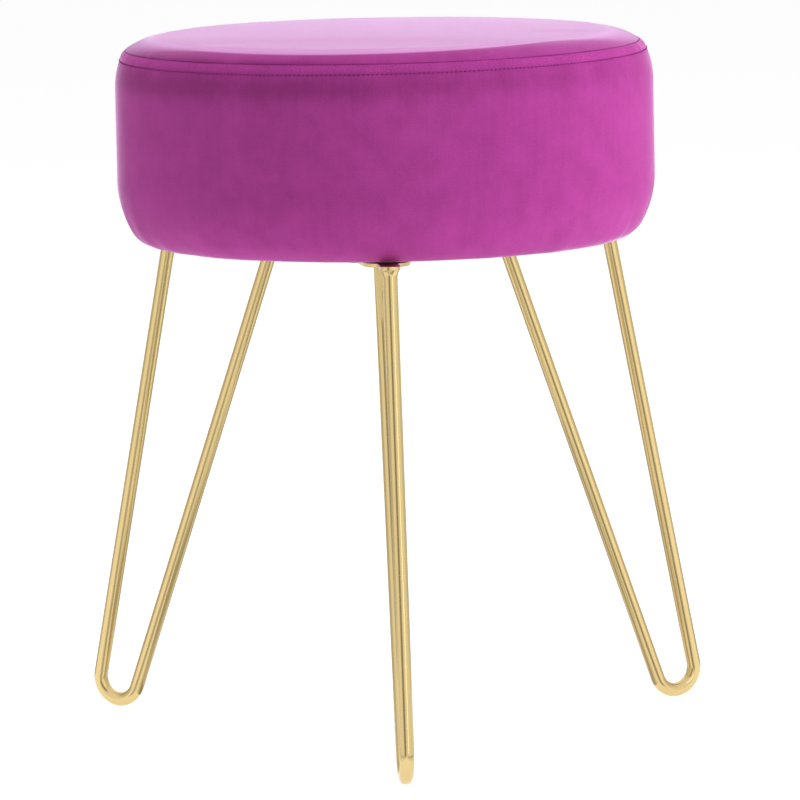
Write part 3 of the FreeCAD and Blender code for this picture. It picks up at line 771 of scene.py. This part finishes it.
band, marks = velvet_piece("velvet_band", band_velvet, band_rows, on_top=False)
round_seat = marks[:, 1] * 2 * math.pi / COLUMNS * SEAT_RADIUS
add_cloth_map(band, np.stack([round_seat, there_and_back(band_rows, band_rows)[marks[:, 0]]], axis=-1))
top, _ = velvet_piece("velvet_top", top_velvet, top_rows, on_top=True)
add_cloth_map(top, [top.data.vertices[loop.vertex_index].co[:2] for loop in top.data.loops])
for piece, node in ((band, "side_band"), (top, "top_panel")):
    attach(piece, "root")
    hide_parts(node)
    print(piece.name, len(piece.data.polygons), "faces", [round(x, 4) for x in piece.dimensions])

# %% [markdown]
# ## Wadding and foam
#
# Under the velvet lies a layer of white polyester wadding that hides the foam's edges. It isn't
# seen, but a part that is taken apart should have it. Its outer face follows the velvet's inner
# face, so it is thin where the seam pulls in. The two foams keep their CAD shapes under it.

# %% Wadding, foam and thread finishes
def soft_finish(name, dark, light, fine, broad, depth, sheen):
    """A speckled matt surface with a little sheen."""
    finish, tree, surface = start_finish(
        name, Roughness=0.95, Specular_IOR_Level=0.1, Sheen_Weight=sheen
    )
    spots = place_group(tree, speckle, object_place(tree), Fine=fine, Broad=broad)
    share = weighted(tree, (spots["Fine"], 0.6), (spots["Broad"], 0.4))
    tree.links.new(mix_colour(tree, share, dark, light), surface["Base Color"])
    add_bump(tree, surface, spots["Fine"], depth)
    return finish


wadding_finish, foam_finish, thread_finish = (soft_finish(*values) for values in (
    ("white_wadding", (0.62, 0.62, 0.60, 1), (0.88, 0.88, 0.86, 1), 420.0, 25.0, 1.2 * MM, 0.3),
    ("cream_foam", (0.55, 0.47, 0.30, 1), (0.80, 0.72, 0.52, 1), 700.0, 15.0, 0.5 * MM, 0.1),
    ("magenta_thread", (0.21, 0.014, 0.135, 1), (0.36, 0.031, 0.245, 1), 2500.0, 60.0, 0.1 * MM, 0.05),
))


def dress(finish, *nodes):
    """Give CAD nodes a finish in place of their plain one."""
    for name in nodes:
        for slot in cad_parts[name].material_slots:
            slot.link = "DATA"
            slot.material = finish


dress(foam_finish, "seat_foam", "side_foam")
print("soft finishes:", wadding_finish.name, foam_finish.name, thread_finish.name)

# %% Wadding layer
wadding_turn = full_turn(240)
wadding_rows = np.concatenate([
    np.linspace(TOP_START, -14 * MM, 24), np.arange(-12, 14, 1.6) * MM,
    np.linspace(16 * MM, CORNER_END, 34),
])
under_velvet = cover_lift(wadding_rows, wadding_turn) - VELVET - 0.1 * MM
on_foam = np.full_like(under_velvet, -VELVET - WADDING)
faces = [cover_grid(wadding_rows, wadding_turn, lift) for lift in (under_velvet, on_foam)]
layer, _, _ = loft("wadding_layer", [there_and_back(*faces)], closed=False, finish=wadding_finish)
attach(layer, "root")
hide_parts("wadding")
print("wadding is at least", round(float((under_velvet - on_foam).min() / MM), 2), "mm thick")

# %% [markdown]
# ## Topstitching
#
# The machine leaves one short run of thread after another, each sinking into its needle hole. The
# seam itself is pulled so tight that its thread shows too, as a darker line in the crease. A
# Geometry Nodes tree does the sewing: it takes the line that the stitches follow on the cover, cuts
# it into equal steps, and puts one bowed bit of thread at each, turned by a small seeded amount as
# real stitches are.

# %% Running a Geometry Nodes tree
def lay_points(name, points, edges=()):
    """An object of bare points, or a line through them, for a tree to work on."""
    mesh = bpy.data.meshes.new(name)
    mesh.from_pydata([tuple(p) for p in points], list(edges), [])
    return add_object(name, mesh)


def plain_mesh(source):
    """The mesh that an object comes to, after which the object is gone."""
    graph = bpy.context.evaluated_depsgraph_get()
    mesh = bpy.data.meshes.new_from_object(source.evaluated_get(graph), depsgraph=graph)
    bpy.data.objects.remove(source)
    return mesh


def grow(name, source, tree, **values):
    """The plain mesh piece that a tree makes from an object, with the tree's inputs set by name."""
    modifier = source.modifiers.new(name, "NODES")
    modifier.node_group = tree
    wanted = {label.replace("_", " "): value for label, value in values.items()}
    for item in tree.interface.items_tree:
        if item.in_out == "INPUT" and item.name in wanted:
            modifier[item.identifier] = wanted[item.name]
    mesh = plain_mesh(source)
    mesh.name = name
    return add_object(name, mesh)


print("trees run on plain meshes of points and lines")


# %% Steps that the trees share
def level_place(tree):
    """A point's place without its height, which is the way out from the seat's axis."""
    return vector_node(tree, "MULTIPLY", output_of(tree, "GeometryNodeInputPosition"), (1, 1, 0))


def upward(tree, height):
    return output_of(tree, "ShaderNodeCombineXYZ", {2: height})


def align(tree, vector, axis, rotation=None, pivot="AUTO"):
    """A rotation that brings an axis to a vector."""
    inputs = {"Vector": vector, **({"Rotation": rotation} if rotation else {})}
    return output_of(tree, "FunctionNodeAlignRotationToVector", inputs, axis=axis, pivot_axis=pivot)


def seeded_turn(tree, rotation, most, seed):
    """A rotation turned a little further about its own Z, by up to so much either way."""
    limits = {2: math_node(tree, "MULTIPLY", most, -1.0), 3: most, "Seed": seed}
    chance = output_of(tree, "FunctionNodeRandomValue", limits, 1, data_type="FLOAT")
    twist = output_of(tree, "FunctionNodeEulerToRotation", {0: upward(tree, chance)})
    turn = {"Rotation": rotation, "Rotate By": twist}
    return output_of(tree, "FunctionNodeRotateRotation", turn, rotation_space="LOCAL")


def sweep(tree, curve, sides, radius):
    """A round bar along a curve, closed at its ends."""
    section = {"Resolution": sides, "Radius": radius}
    section = output_of(tree, "GeometryNodeCurvePrimitiveCircle", section)
    bar = {"Curve": curve, "Profile Curve": section, "Fill Caps": True}
    return output_of(tree, "GeometryNodeCurveToMesh", bar)


def finish_tree(tree, end, geometry, material):
    """The end of every tree: real geometry, smooth, with its material."""
    real = output_of(tree, "GeometryNodeRealizeInstances", {"Geometry": geometry})
    smooth = output_of(tree, "GeometryNodeSetShadeSmooth", {"Geometry": real})
    dressed = output_of(tree, "GeometryNodeSetMaterial", {"Geometry": smooth, "Material": material})
    tree.links.new(dressed, end[0])


print("shared steps:", [step.__name__ for step in (align, seeded_turn, sweep, finish_tree)])


# %% Sewing tree
def make_sewing():
    takes = {
        "Line": GEOMETRY, "Stitches": 100, "Length": 0.003, "Thread Radius": 0.0004, "Bow": 0.0003,
        "Lean": 1.0, "Unevenness": 0.08, "Seed": 7, "Thread": MATERIAL,
    }
    tree, given, end = open_group("sewing", "GeometryNodeTree", takes, {"Stitches": GEOMETRY})
    curve = output_of(tree, "GeometryNodeMeshToCurve", {0: given["Line"]})
    steps = {"Curve": curve, "Count": given["Stitches"]}
    steps = output_of(tree, "GeometryNodeResampleCurve", steps)
    tail, tip = (
        output_of(tree, "ShaderNodeCombineXYZ", {0: math_node(tree, "MULTIPLY", given["Length"], share)})
        for share in (-0.5, 0.5)
    )
    bow = {"Resolution": 4, "Start": tail, "Middle": upward(tree, given["Bow"]), "End": tip}
    bow = output_of(tree, "GeometryNodeCurveQuadraticBezier", bow)
    stitch = sweep(tree, bow, 6, given["Thread Radius"])
    level = vector_node(tree, "NORMALIZE", level_place(tree))
    outward = vector_node(tree, "ADD", level, upward(tree, given["Lean"]))
    along = output_of(tree, "GeometryNodeInputTangent")
    facing = align(tree, along, "X", rotation=align(tree, outward, "Z"), pivot="Z")
    turned = seeded_turn(tree, facing, given["Unevenness"], given["Seed"])
    laid = {"Points": steps, "Instance": stitch, "Rotation": turned}
    laid = output_of(tree, "GeometryNodeInstanceOnPoints", laid)
    finish_tree(tree, end, laid, given["Thread"])
    return tree


sewing = make_sewing()
print("sewing tree:", len(sewing.nodes), "nodes")

# %% Stitches
STITCH_PITCH, STITCH_LENGTH, STITCH_BOW, THREAD_RADIUS = 3.2 * MM, 1.9 * MM, 0.5 * MM, 0.4 * MM
LINE_STEPS = 1440

sewn_turn = full_turn(LINE_STEPS)
sewn_rows = np.array([STITCH_ROW, 0.0])
sewn_line = cover_grid(sewn_rows, sewn_turn, cover_lift(sewn_rows, sewn_turn) + 0.05 * MM)
edges = [(row + n, row + (n + 1) % LINE_STEPS) for row in (0, LINE_STEPS) for n in range(LINE_STEPS)]
lines = lay_points("stitch_line", sewn_line.reshape(-1, 3), edges)
stitch_lean = math.radians(float(outline(STITCH_ROW)[2]))
line_length = float(np.linalg.norm(np.diff(sewn_line[0], axis=0), axis=1).sum())
stitch_count = round(line_length / STITCH_PITCH)
stitches = grow(
    "topstitches", lines, sewing, Stitches=stitch_count, Length=STITCH_LENGTH, Bow=STITCH_BOW,
    Thread_Radius=THREAD_RADIUS, Lean=1 / math.tan(stitch_lean), Unevenness=0.07, Seed=7,
    Thread=thread_finish,
)
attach(stitches, "root")
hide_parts("topstitch_thread")
print(stitch_count, "stitches to a row,", len(stitches.data.polygons), "faces")

# %% [markdown]
# ## Gold and zinc
#
# The legs are mild steel rod, plated a pale gold. Such plating mirrors its surroundings a little
# softly and carries faint lines from drawing the rod, a few smudges and hairlines.
# The screws, staples and nuts are zinc plated: greyer, duller and mottled.

# %% Metal finishes
def metal_finish(name, darker_tone, bright, roughest, smoothest, smudges, drawn, depth):
    """Plated steel: smudged colour and gloss, drawing lines and hairline scratches."""
    finish, tree, surface = start_finish(name, Metallic=1.0)
    place = object_place(tree)
    touched = place_group(tree, handling, place, Smudges=smudges, Scratches=160.0)
    lines = place_group(tree, streaks, place, Stretch=drawn, Waver=0.2)
    share = weighted(tree, (touched["Smudge"], 0.6), (lines["Streak"], 0.4))
    tree.links.new(mix_colour(tree, share, darker_tone, bright), surface["Base Color"])
    gloss = {"Value": share, "From Min": 0.3, "From Max": 0.7, "To Min": roughest, "To Max": smoothest}
    gloss = output_of(tree, "ShaderNodeMapRange", gloss)
    tree.links.new(weighted(tree, (touched["Scratch"], 0.12), base=gloss), surface["Roughness"])
    height = math_node(tree, "SUBTRACT", lines["Streak"], touched["Scratch"])
    add_bump(tree, surface, height, depth, 0.4)
    return finish


gold = metal_finish(
    "satin_gold", (0.71, 0.543, 0.252, 1), (0.78, 0.596, 0.278, 1), 0.20, 0.14,
    40.0, (500.0, 500.0, 9.0), 0.02 * MM,
)
zinc = metal_finish(
    "zinc_plate", (0.42, 0.43, 0.44, 1), (0.66, 0.67, 0.68, 1), 0.42, 0.28,
    90.0, (300.0, 300.0, 300.0), 0.05 * MM,
)
print("metals:", gold.name, zinc.name)

# %% [markdown]
# ## Hairpin legs
#
# Each leg is one rod, bent once at the foot. Its line is two straight runs and a bend, so three
# points and a fillet are enough: the tree rounds the middle point, sweeps a circle along the line
# and caps the ends. A swept tube keeps the plating smooth, where CAD triangles would show.
# The tops are then cut level, where the rods are welded under their plate.

# %% Rod tree
def make_rod_bender():
    takes = {
        "Line": GEOMETRY, "Rod Radius": 0.005, "Bend Radius": 0.016, "Bend Steps": 32, "Sides": 40,
        "Plating": MATERIAL,
    }
    tree, given, end = open_group("rod_bender", "GeometryNodeTree", takes, {"Rod": GEOMETRY})
    line = output_of(tree, "GeometryNodeMeshToCurve", {0: given["Line"]})
    bend = {"Curve": line, "Count": given["Bend Steps"], "Radius": given["Bend Radius"]}
    bent = output_of(tree, "GeometryNodeFilletCurve", bend, mode="POLY")
    finish_tree(tree, end, sweep(tree, bent, given["Sides"], given["Rod Radius"]), given["Plating"])
    return tree


rod_bender = make_rod_bender()
print("rod tree:", len(rod_bender.nodes), "nodes")

# %% Layout of a leg
ROD_RADIUS, BEND_RADIUS = 5 * MM, 16 * MM
ROD_OVERRUN = 3 * MM  # past the plate, to be cut level
PLATE_BOTTOM = 346.6 * MM
OUTER_REACH, INNER_REACH, FOOT_REACH, PLATE_MIDDLE = 182 * MM, 94 * MM, 234 * MM, 138 * MM
LEGS = {"front": (270.0, 5.0), "right": (30.0, 0.0), "left": (150.0, 0.0)}


def leg_place(leg):
    """Where a leg that was laid out along +X stands: turned on its plate, then round the seat."""
    azimuth, turn = (math.radians(a) for a in LEGS[leg])
    pivot = Matrix.Translation((PLATE_MIDDLE, 0, 0))
    return Matrix.Rotation(azimuth, 4, "Z") @ pivot @ Matrix.Rotation(turn, 4, "Z") @ pivot.inverted()


def rod_tangent(reach, side):
    """Where a straight run from a rod's top touches the bend at the foot."""
    centre = Vector((FOOT_REACH, BEND_RADIUS + ROD_RADIUS))
    away = Vector((reach, PLATE_BOTTOM)) - centre
    angle = math.atan2(away.y, away.x) - side * math.acos(BEND_RADIUS / away.length)
    return centre + Vector((math.cos(angle), math.sin(angle))) * BEND_RADIUS


def rod_line():
    """Outer top, the corner where the two runs would meet, and inner top, in a leg's own plane."""
    tops = [Vector((OUTER_REACH, PLATE_BOTTOM)), Vector((INNER_REACH, PLATE_BOTTOM))]
    runs = [(rod_tangent(top.x, side) - top).normalized() for top, side in zip(tops, (1, -1))]
    gap = tops[1] - tops[0]
    reach = (gap.x * runs[1].y - gap.y * runs[1].x) / (runs[0].x * runs[1].y - runs[0].y * runs[1].x)
    corner = tops[0] + runs[0] * reach
    ends = [top - run * ROD_OVERRUN for top, run in zip(tops, runs)]
    return [Vector((p.x, 0, p.y)) for p in (ends[0], corner, ends[1])], tops, runs


line, rod_tops, rod_runs = rod_line()
print("a leg's line in mm:", [[round(x / MM, 1) for x in p] for p in line])


# %% Rods
def cut_level(piece, height):
    """Take off all of a piece above a height and close the cut, with a sharp rim."""
    shape = bmesh.new()
    shape.from_mesh(piece.data)
    everything = shape.verts[:] + shape.edges[:] + shape.faces[:]
    plane = {"plane_co": (0, 0, height), "plane_no": (0, 0, 1)}
    bmesh.ops.bisect_plane(shape, geom=everything, clear_outer=True, **plane)
    bmesh.ops.holes_fill(shape, edges=[e for e in shape.edges if e.is_boundary])
    bmesh.ops.recalc_face_normals(shape, faces=shape.faces)
    shape.to_mesh(piece.data)
    shape.free()
    piece.data.set_sharp_from_angle(angle=math.radians(40))


for leg in LEGS:
    source = lay_points("rod_line", [leg_place(leg) @ p for p in line], [(0, 1), (1, 2)])
    rod = grow(
        f"{leg}_hairpin", source, rod_bender, Rod_Radius=ROD_RADIUS, Bend_Radius=BEND_RADIUS,
        Bend_Steps=32, Sides=40, Plating=gold,
    )
    cut_level(rod, PLATE_BOTTOM)
    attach(rod, "root")
    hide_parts(f"{leg}_leg_rod")
    ends = [round(f(v.co.z for v in rod.data.vertices) / MM, 2) for f in (min, max)]
    print(rod.name, "lowest and highest", ends)

# %% [markdown]
# ## Weld beads
#
# Where a rod meets its plate there is a small fillet of weld, plated over with the rest. A bead is
# laid in overlapping drops, so its edge ripples. Each one here is a ring round the slanted rod,
# whose section runs from the plate to the rod with a slight belly, wider and narrower by the drops.

# %% Beads
WELD_SPREAD, WELD_RUN, WELD_DEPTH = 1.25 * MM, 4.2 * MM, 0.3 * MM
BEAD_COLUMNS = 64


def bead_rings(place, top, run, seed):
    """Rings of points round one rod's top, from inside the rod out over the bead's face to the plate."""
    down = Vector((run.x, 0, run.y))
    aside, out = Vector((0, 1, 0)), Vector((0, 1, 0)).cross(down)
    sections = []
    for turn in full_turn(BEAD_COLUMNS):
        along, across = math.cos(turn), math.sin(turn)
        away = out * along + aside * across
        drop = 1 + 0.05 * math.cos(11 * turn + seed) + 0.16 * noise.noise((3 * along, 3 * across, seed))
        section = []
        for share in (0.0, 0.12, 0.3, 0.5, 0.7, 0.88, 1.0):
            spread = ROD_RADIUS + WELD_SPREAD * drop * (1 - share) ** 1.4
            section.append((spread, WELD_RUN * drop * share**1.25))
        section += [(ROD_RADIUS - WELD_DEPTH, WELD_RUN * drop), (ROD_RADIUS - WELD_DEPTH, 0.0)]
        section = [away * spread + down * (depth - spread * away.z / down.z) for spread, depth in section]
        sections.append([place @ (Vector((top.x, 0, top.y)) + p) for p in section])
    return np.swapaxes(np.array(sections), 0, 1)[::-1]


for seed, leg in enumerate(LEGS):
    tops = enumerate(zip(rod_tops, rod_runs))
    beads = [bead_rings(leg_place(leg), top, run, 3 * seed + n) for n, (top, run) in tops]
    piece, _, _ = loft(f"{leg}_weld_beads", beads, closed=True, finish=gold, sharp=50)
    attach(piece, "root")
    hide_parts(f"{leg}_leg_welds")
    print(piece.name, len(piece.data.polygons), "faces")
dress(gold, "front_leg_plate", "right_leg_plate", "left_leg_plate")

# %% [markdown]
# ## Screws, washers and staples
#
# The underside is held by three screws to a plate and by rows of staples. Each kind is modelled
# once and set out by one tree, which turns every copy towards the seat's axis and then by a small
# seeded amount. A stapler is never held quite straight, and a screw stops at any angle.

# %% Setting-out tree
def make_setting_out():
    takes = {"Places": GEOMETRY, "Part": OBJECT, "Turn": 0.1, "Seed": 3, "Plating": MATERIAL}
    tree, given, end = open_group("setting_out", "GeometryNodeTree", takes, {"Parts": GEOMETRY})
    part = output_of(tree, "GeometryNodeObjectInfo", {0: given["Part"]}, "Geometry")
    facing = align(tree, level_place(tree), "X", pivot="Z")
    turned = seeded_turn(tree, facing, given["Turn"], given["Seed"])
    laid = {"Points": given["Places"], "Instance": part, "Rotation": turned}
    laid = output_of(tree, "GeometryNodeInstanceOnPoints", laid)
    finish_tree(tree, end, laid, given["Plating"])
    return tree


setting_out = make_setting_out()


def set_out(name, part, places, turn, seed):
    """A zinc plated piece of many copies of one part, which is then put away."""
    source = lay_points("places", places)
    piece = grow(name, source, setting_out, Part=part, Turn=turn, Seed=seed, Plating=zinc)
    bpy.data.objects.remove(part)
    return piece


print("setting-out tree:", len(setting_out.nodes), "nodes")

# %% Turned sections
SCREW_SEAT = 345.4 * MM
HEAD_END, SHANK_TIP = SCREW_SEAT - 3.2 * MM, 367.1 * MM
HEAD_RADIUS, DOME_RADIUS = 5.5, 2  # mm


def turned_rings(section, columns):
    """Rings of points from (reach, height) pairs; a reach may be a rule of the angle."""
    turn = full_turn(columns)
    rings = []
    for reach, height in section:
        reach = reach(turn) if callable(reach) else reach
        rings.append(np.stack([reach * np.cos(turn), reach * np.sin(turn), height + 0 * turn], axis=-1))
    return rings


def hexagon(flat):
    """Reach of a hexagon's side at an angle, from its width across flats."""
    return lambda angle: flat / 2 / np.cos((angle + math.pi / 6) % (math.pi / 3) - math.pi / 6)


def in_mm(pairs, base):
    """A section given in millimetres from a base height."""
    return [(reach * MM, base + rise * MM) for reach, rise in pairs]


dome = [
    (HEAD_RADIUS - DOME_RADIUS + DOME_RADIUS * math.cos(a), DOME_RADIUS - DOME_RADIUS * math.sin(a))
    for a in np.linspace(0, math.pi / 2, 6)
]
screw_section = in_mm([(0, 0), (2.4, 0), (3, -0.6)], SHANK_TIP)
screw_section += in_mm([(3, 0), (HEAD_RADIUS, 0)], SCREW_SEAT) + in_mm(dome + [(2.75, 0)], HEAD_END)
screw_section += [(hexagon(4.3 * MM), HEAD_END + 0.02 * MM), (hexagon(4 * MM), HEAD_END + 0.2 * MM)]
screw_section += [(hexagon(4 * MM), HEAD_END + 1.8 * MM), (0, HEAD_END + 2 * MM)]
washer_section = in_mm(
    [(3.3, 1.1), (3.4, 1.2), (6.1, 1.2), (6.25, 1.05), (6.25, 0.15), (6.1, 0), (3.4, 0), (3.3, 0.1)],
    SCREW_SEAT,
)
print("screw section:", len(screw_section), "rings; washer section:", len(washer_section))

# %% Screws and washers
HEEL_REACH, HEEL_SPREAD, TIP_SCREW_REACH = 81 * MM, 16 * MM, 140.4 * MM
plate_holes = ((TIP_SCREW_REACH, 0, 0), (HEEL_REACH, -HEEL_SPREAD, 0), (HEEL_REACH, HEEL_SPREAD, 0))
screw_places = [leg_place(leg) @ Vector(p) for leg in LEGS for p in plate_holes]
for name, section, closed, node in (
    ("button_screws", screw_section, False, "leg_screws"),
    ("flat_washers", washer_section, True, "leg_washers"),
):
    part, _, _ = loft(f"{name}_one", [turned_rings(section, 36)], closed, sharp=40)
    pieces = set_out(name, part, screw_places, math.pi, 5)
    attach(pieces, "root")
    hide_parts(node)
    print(name, len(pieces.data.polygons), "faces")


# %% Staples
STAPLE_WIRE, STAPLE_HALF, STAPLE_LEG, STAPLE_BEND = 0.35 * MM, 5 * MM, 8 * MM, 0.5 * MM
HEM_STAPLES_REACH, DUST_STAPLES_REACH = 141.4 * MM, 147.4 * MM
DUST_STAPLES_BOTTOM = 348.9 * MM


def staple_part(crown_bottom):
    """One staple of round wire, its crown along Y and its legs upwards."""
    low, side = crown_bottom + STAPLE_WIRE, -STAPLE_HALF + STAPLE_WIRE
    path = [(side, low + STAPLE_LEG - 2 * STAPLE_WIRE), (side, low + STAPLE_BEND)]
    path += [(side + STAPLE_BEND, low), (0, low)]
    path += [(-y, z) for y, z in path[-2::-1]]
    curve = bpy.data.curves.new("staple_wire", "CURVE")
    curve.dimensions = "3D"
    spline = curve.splines.new("POLY")
    spline.points.add(len(path) - 1)
    for point, (y, z) in zip(spline.points, path):
        point.co = (0, y, z, 1)
    curve.bevel_depth, curve.bevel_resolution, curve.use_fill_caps = STAPLE_WIRE, 1, True
    part = add_object("staple_one", plain_mesh(add_object("staple_wire", curve)))
    part.data.shade_smooth()
    return part


def ring_places(reach, azimuths):
    turns = [math.radians(a) for a in azimuths]
    return [(reach * math.cos(a), reach * math.sin(a), 0) for a in turns]


hem_places = ring_places(HEM_STAPLES_REACH, [10 * (n + 0.5) for n in range(36)])
between_legs = [azimuth + 15 + 10 * n for azimuth, _ in LEGS.values() for n in range(10)]
dust_places = ring_places(DUST_STAPLES_REACH, between_legs)
for name, places, bottom, node, seed in (
    ("hem_staple_row", hem_places, UNDERSIDE, "hem_staples", 11),
    ("dust_staple_row", dust_places, DUST_STAPLES_BOTTOM, "dust_cover_staples", 12),
):
    row = set_out(name, staple_part(bottom), places, 0.06, seed)
    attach(row, "root")
    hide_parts(node)
    print(name, len(places), "staples,", len(row.data.polygons), "faces")

# %% [markdown]
# ## Dust cover
#
# A round of thin black non-woven cloth closes the underside. It is stapled tight at its edge and
# held up by the leg plates, and in the middle it hangs a little. It is one smooth shell of the
# cloth's own thickness, dimpled by hot rollers in a fine diamond grid, which is bump in its finish.

# %% Lining finish
DARK_LINING, LIGHT_LINING = (0.010, 0.010, 0.011, 1), (0.045, 0.045, 0.048, 1)

lining, tree, surface = start_finish(
    "black_lining", Roughness=0.9, Specular_IOR_Level=0.2, Sheen_Weight=0.15
)
spots = place_group(tree, speckle, object_place(tree), Fine=1200.0, Broad=20.0)
tree.links.new(mix_colour(tree, spots["Fine"], DARK_LINING, LIGHT_LINING), surface["Base Color"])
diamonds = {"Vector": object_place(tree), "Rotation": (0, 0, math.pi / 4), "Scale": (1600, 1600, 0)}
waves = vector_node(tree, "SINE", output_of(tree, "ShaderNodeMapping", diamonds))
parts = add_node(tree, "ShaderNodeSeparateXYZ", {0: waves}).outputs
dimples = math_node(tree, "MULTIPLY", parts[0], parts[1])
add_bump(tree, surface, weighted(tree, (spots["Fine"], 0.5), base=dimples), 0.12 * MM, 0.7)
print("lining nodes:", len(tree.nodes))

# %% Dust cover
DUST_RADIUS, DUST_THICK, DUST_HANG = 152.4 * MM, 0.4 * MM, 2.4 * MM
FREE_RADIUS = 70 * MM  # no plate holds the cloth inside this
dust_reach = np.concatenate([np.linspace(0, 75, 31) * MM, np.linspace(80 * MM, DUST_RADIUS, 16)])[:, None]
dust_turn = full_turn(180)
way_out = dust_reach / FREE_RADIUS
hang = DUST_HANG * np.clip(1 - way_out**2, 0, 1) ** 1.5
creases = 0.5 * MM * np.clip(1 - way_out, 0, 1) * way_out * wave(dust_turn, 3, 2.5)
low = UNDERSIDE - DUST_THICK - hang + creases
x, y = np.cos(dust_turn) * dust_reach, np.sin(dust_turn) * dust_reach
faces = [np.stack([x, y, height], axis=-1) for height in (low + DUST_THICK, low)]
dust, _, _ = loft("dust_sheet", [there_and_back(*faces)], closed=False, finish=lining)
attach(dust, "root")
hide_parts("dust_cover")
print("dust cover hangs", round(float((UNDERSIDE - DUST_THICK - low.min()) / MM), 2), "mm in the middle")

# %% [markdown]
# ## Wood inside the drum
#
# The drum is birch plywood boards, a bent hardboard wall and pine struts, held by wood screws.
# Their CAD shapes are right, so they only get finishes: stretched noise for grain, thin level
# layers for the plies, and a fine brown felt for the hardboard.

# %% Wood finishes
def wood_finish(name, dark, light, stretch, depth, ply=None):
    """Grained wood, with plies of a thickness if it has them."""
    finish, tree, surface = start_finish(name, Specular_IOR_Level=0.3)
    place = object_place(tree)
    lines = place_group(tree, streaks, place, Stretch=stretch, Waver=1.2)
    spots = place_group(tree, speckle, place, Fine=600.0, Broad=18.0)
    share = weighted(tree, (lines["Streak"], 0.7), (spots["Fine"], 0.3))
    if ply:
        level = output_of(tree, "ShaderNodeSeparateXYZ", {0: place}, 2)
        layers = math_node(tree, "SINE", math_node(tree, "MULTIPLY", level, math.pi / ply))
        share = weighted(tree, (layers, 0.2), base=share)
    tree.links.new(mix_colour(tree, share, dark, light), surface["Base Color"])
    tree.links.new(weighted(tree, (share, -0.2), base=0.75), surface["Roughness"])
    add_bump(tree, surface, share, depth)
    return finish


PLY = 1.4 * MM
plywood, hardboard, pine = (wood_finish(*values) for values in (
    ("birch_plywood", (0.42, 0.27, 0.14, 1), (0.72, 0.55, 0.36, 1), (12.0, 160.0, 160.0), 0.2 * MM, PLY),
    ("brown_hardboard", (0.16, 0.085, 0.04, 1), (0.30, 0.17, 0.09, 1), (200.0, 200.0, 60.0), 0.1 * MM),
    ("pine_strut", (0.50, 0.31, 0.14, 1), (0.80, 0.61, 0.36, 1), (140.0, 140.0, 9.0), 0.2 * MM),
))
dress(plywood, "seat_board", "base_board")
dress(hardboard, "drum_wall")
dress(pine, *[f"strut_{n}" for n in range(1, 7)])
dress(zinc, "seat_board_screws", "base_board_screws", "tee_nuts")
print("wood finishes:", plywood.name, hardboard.name, pine.name)

# %% [markdown]
# ## View transform
#
# The render uses Blender's Standard view transform.

# %% Finish
scene.view_settings.view_transform = "Standard"
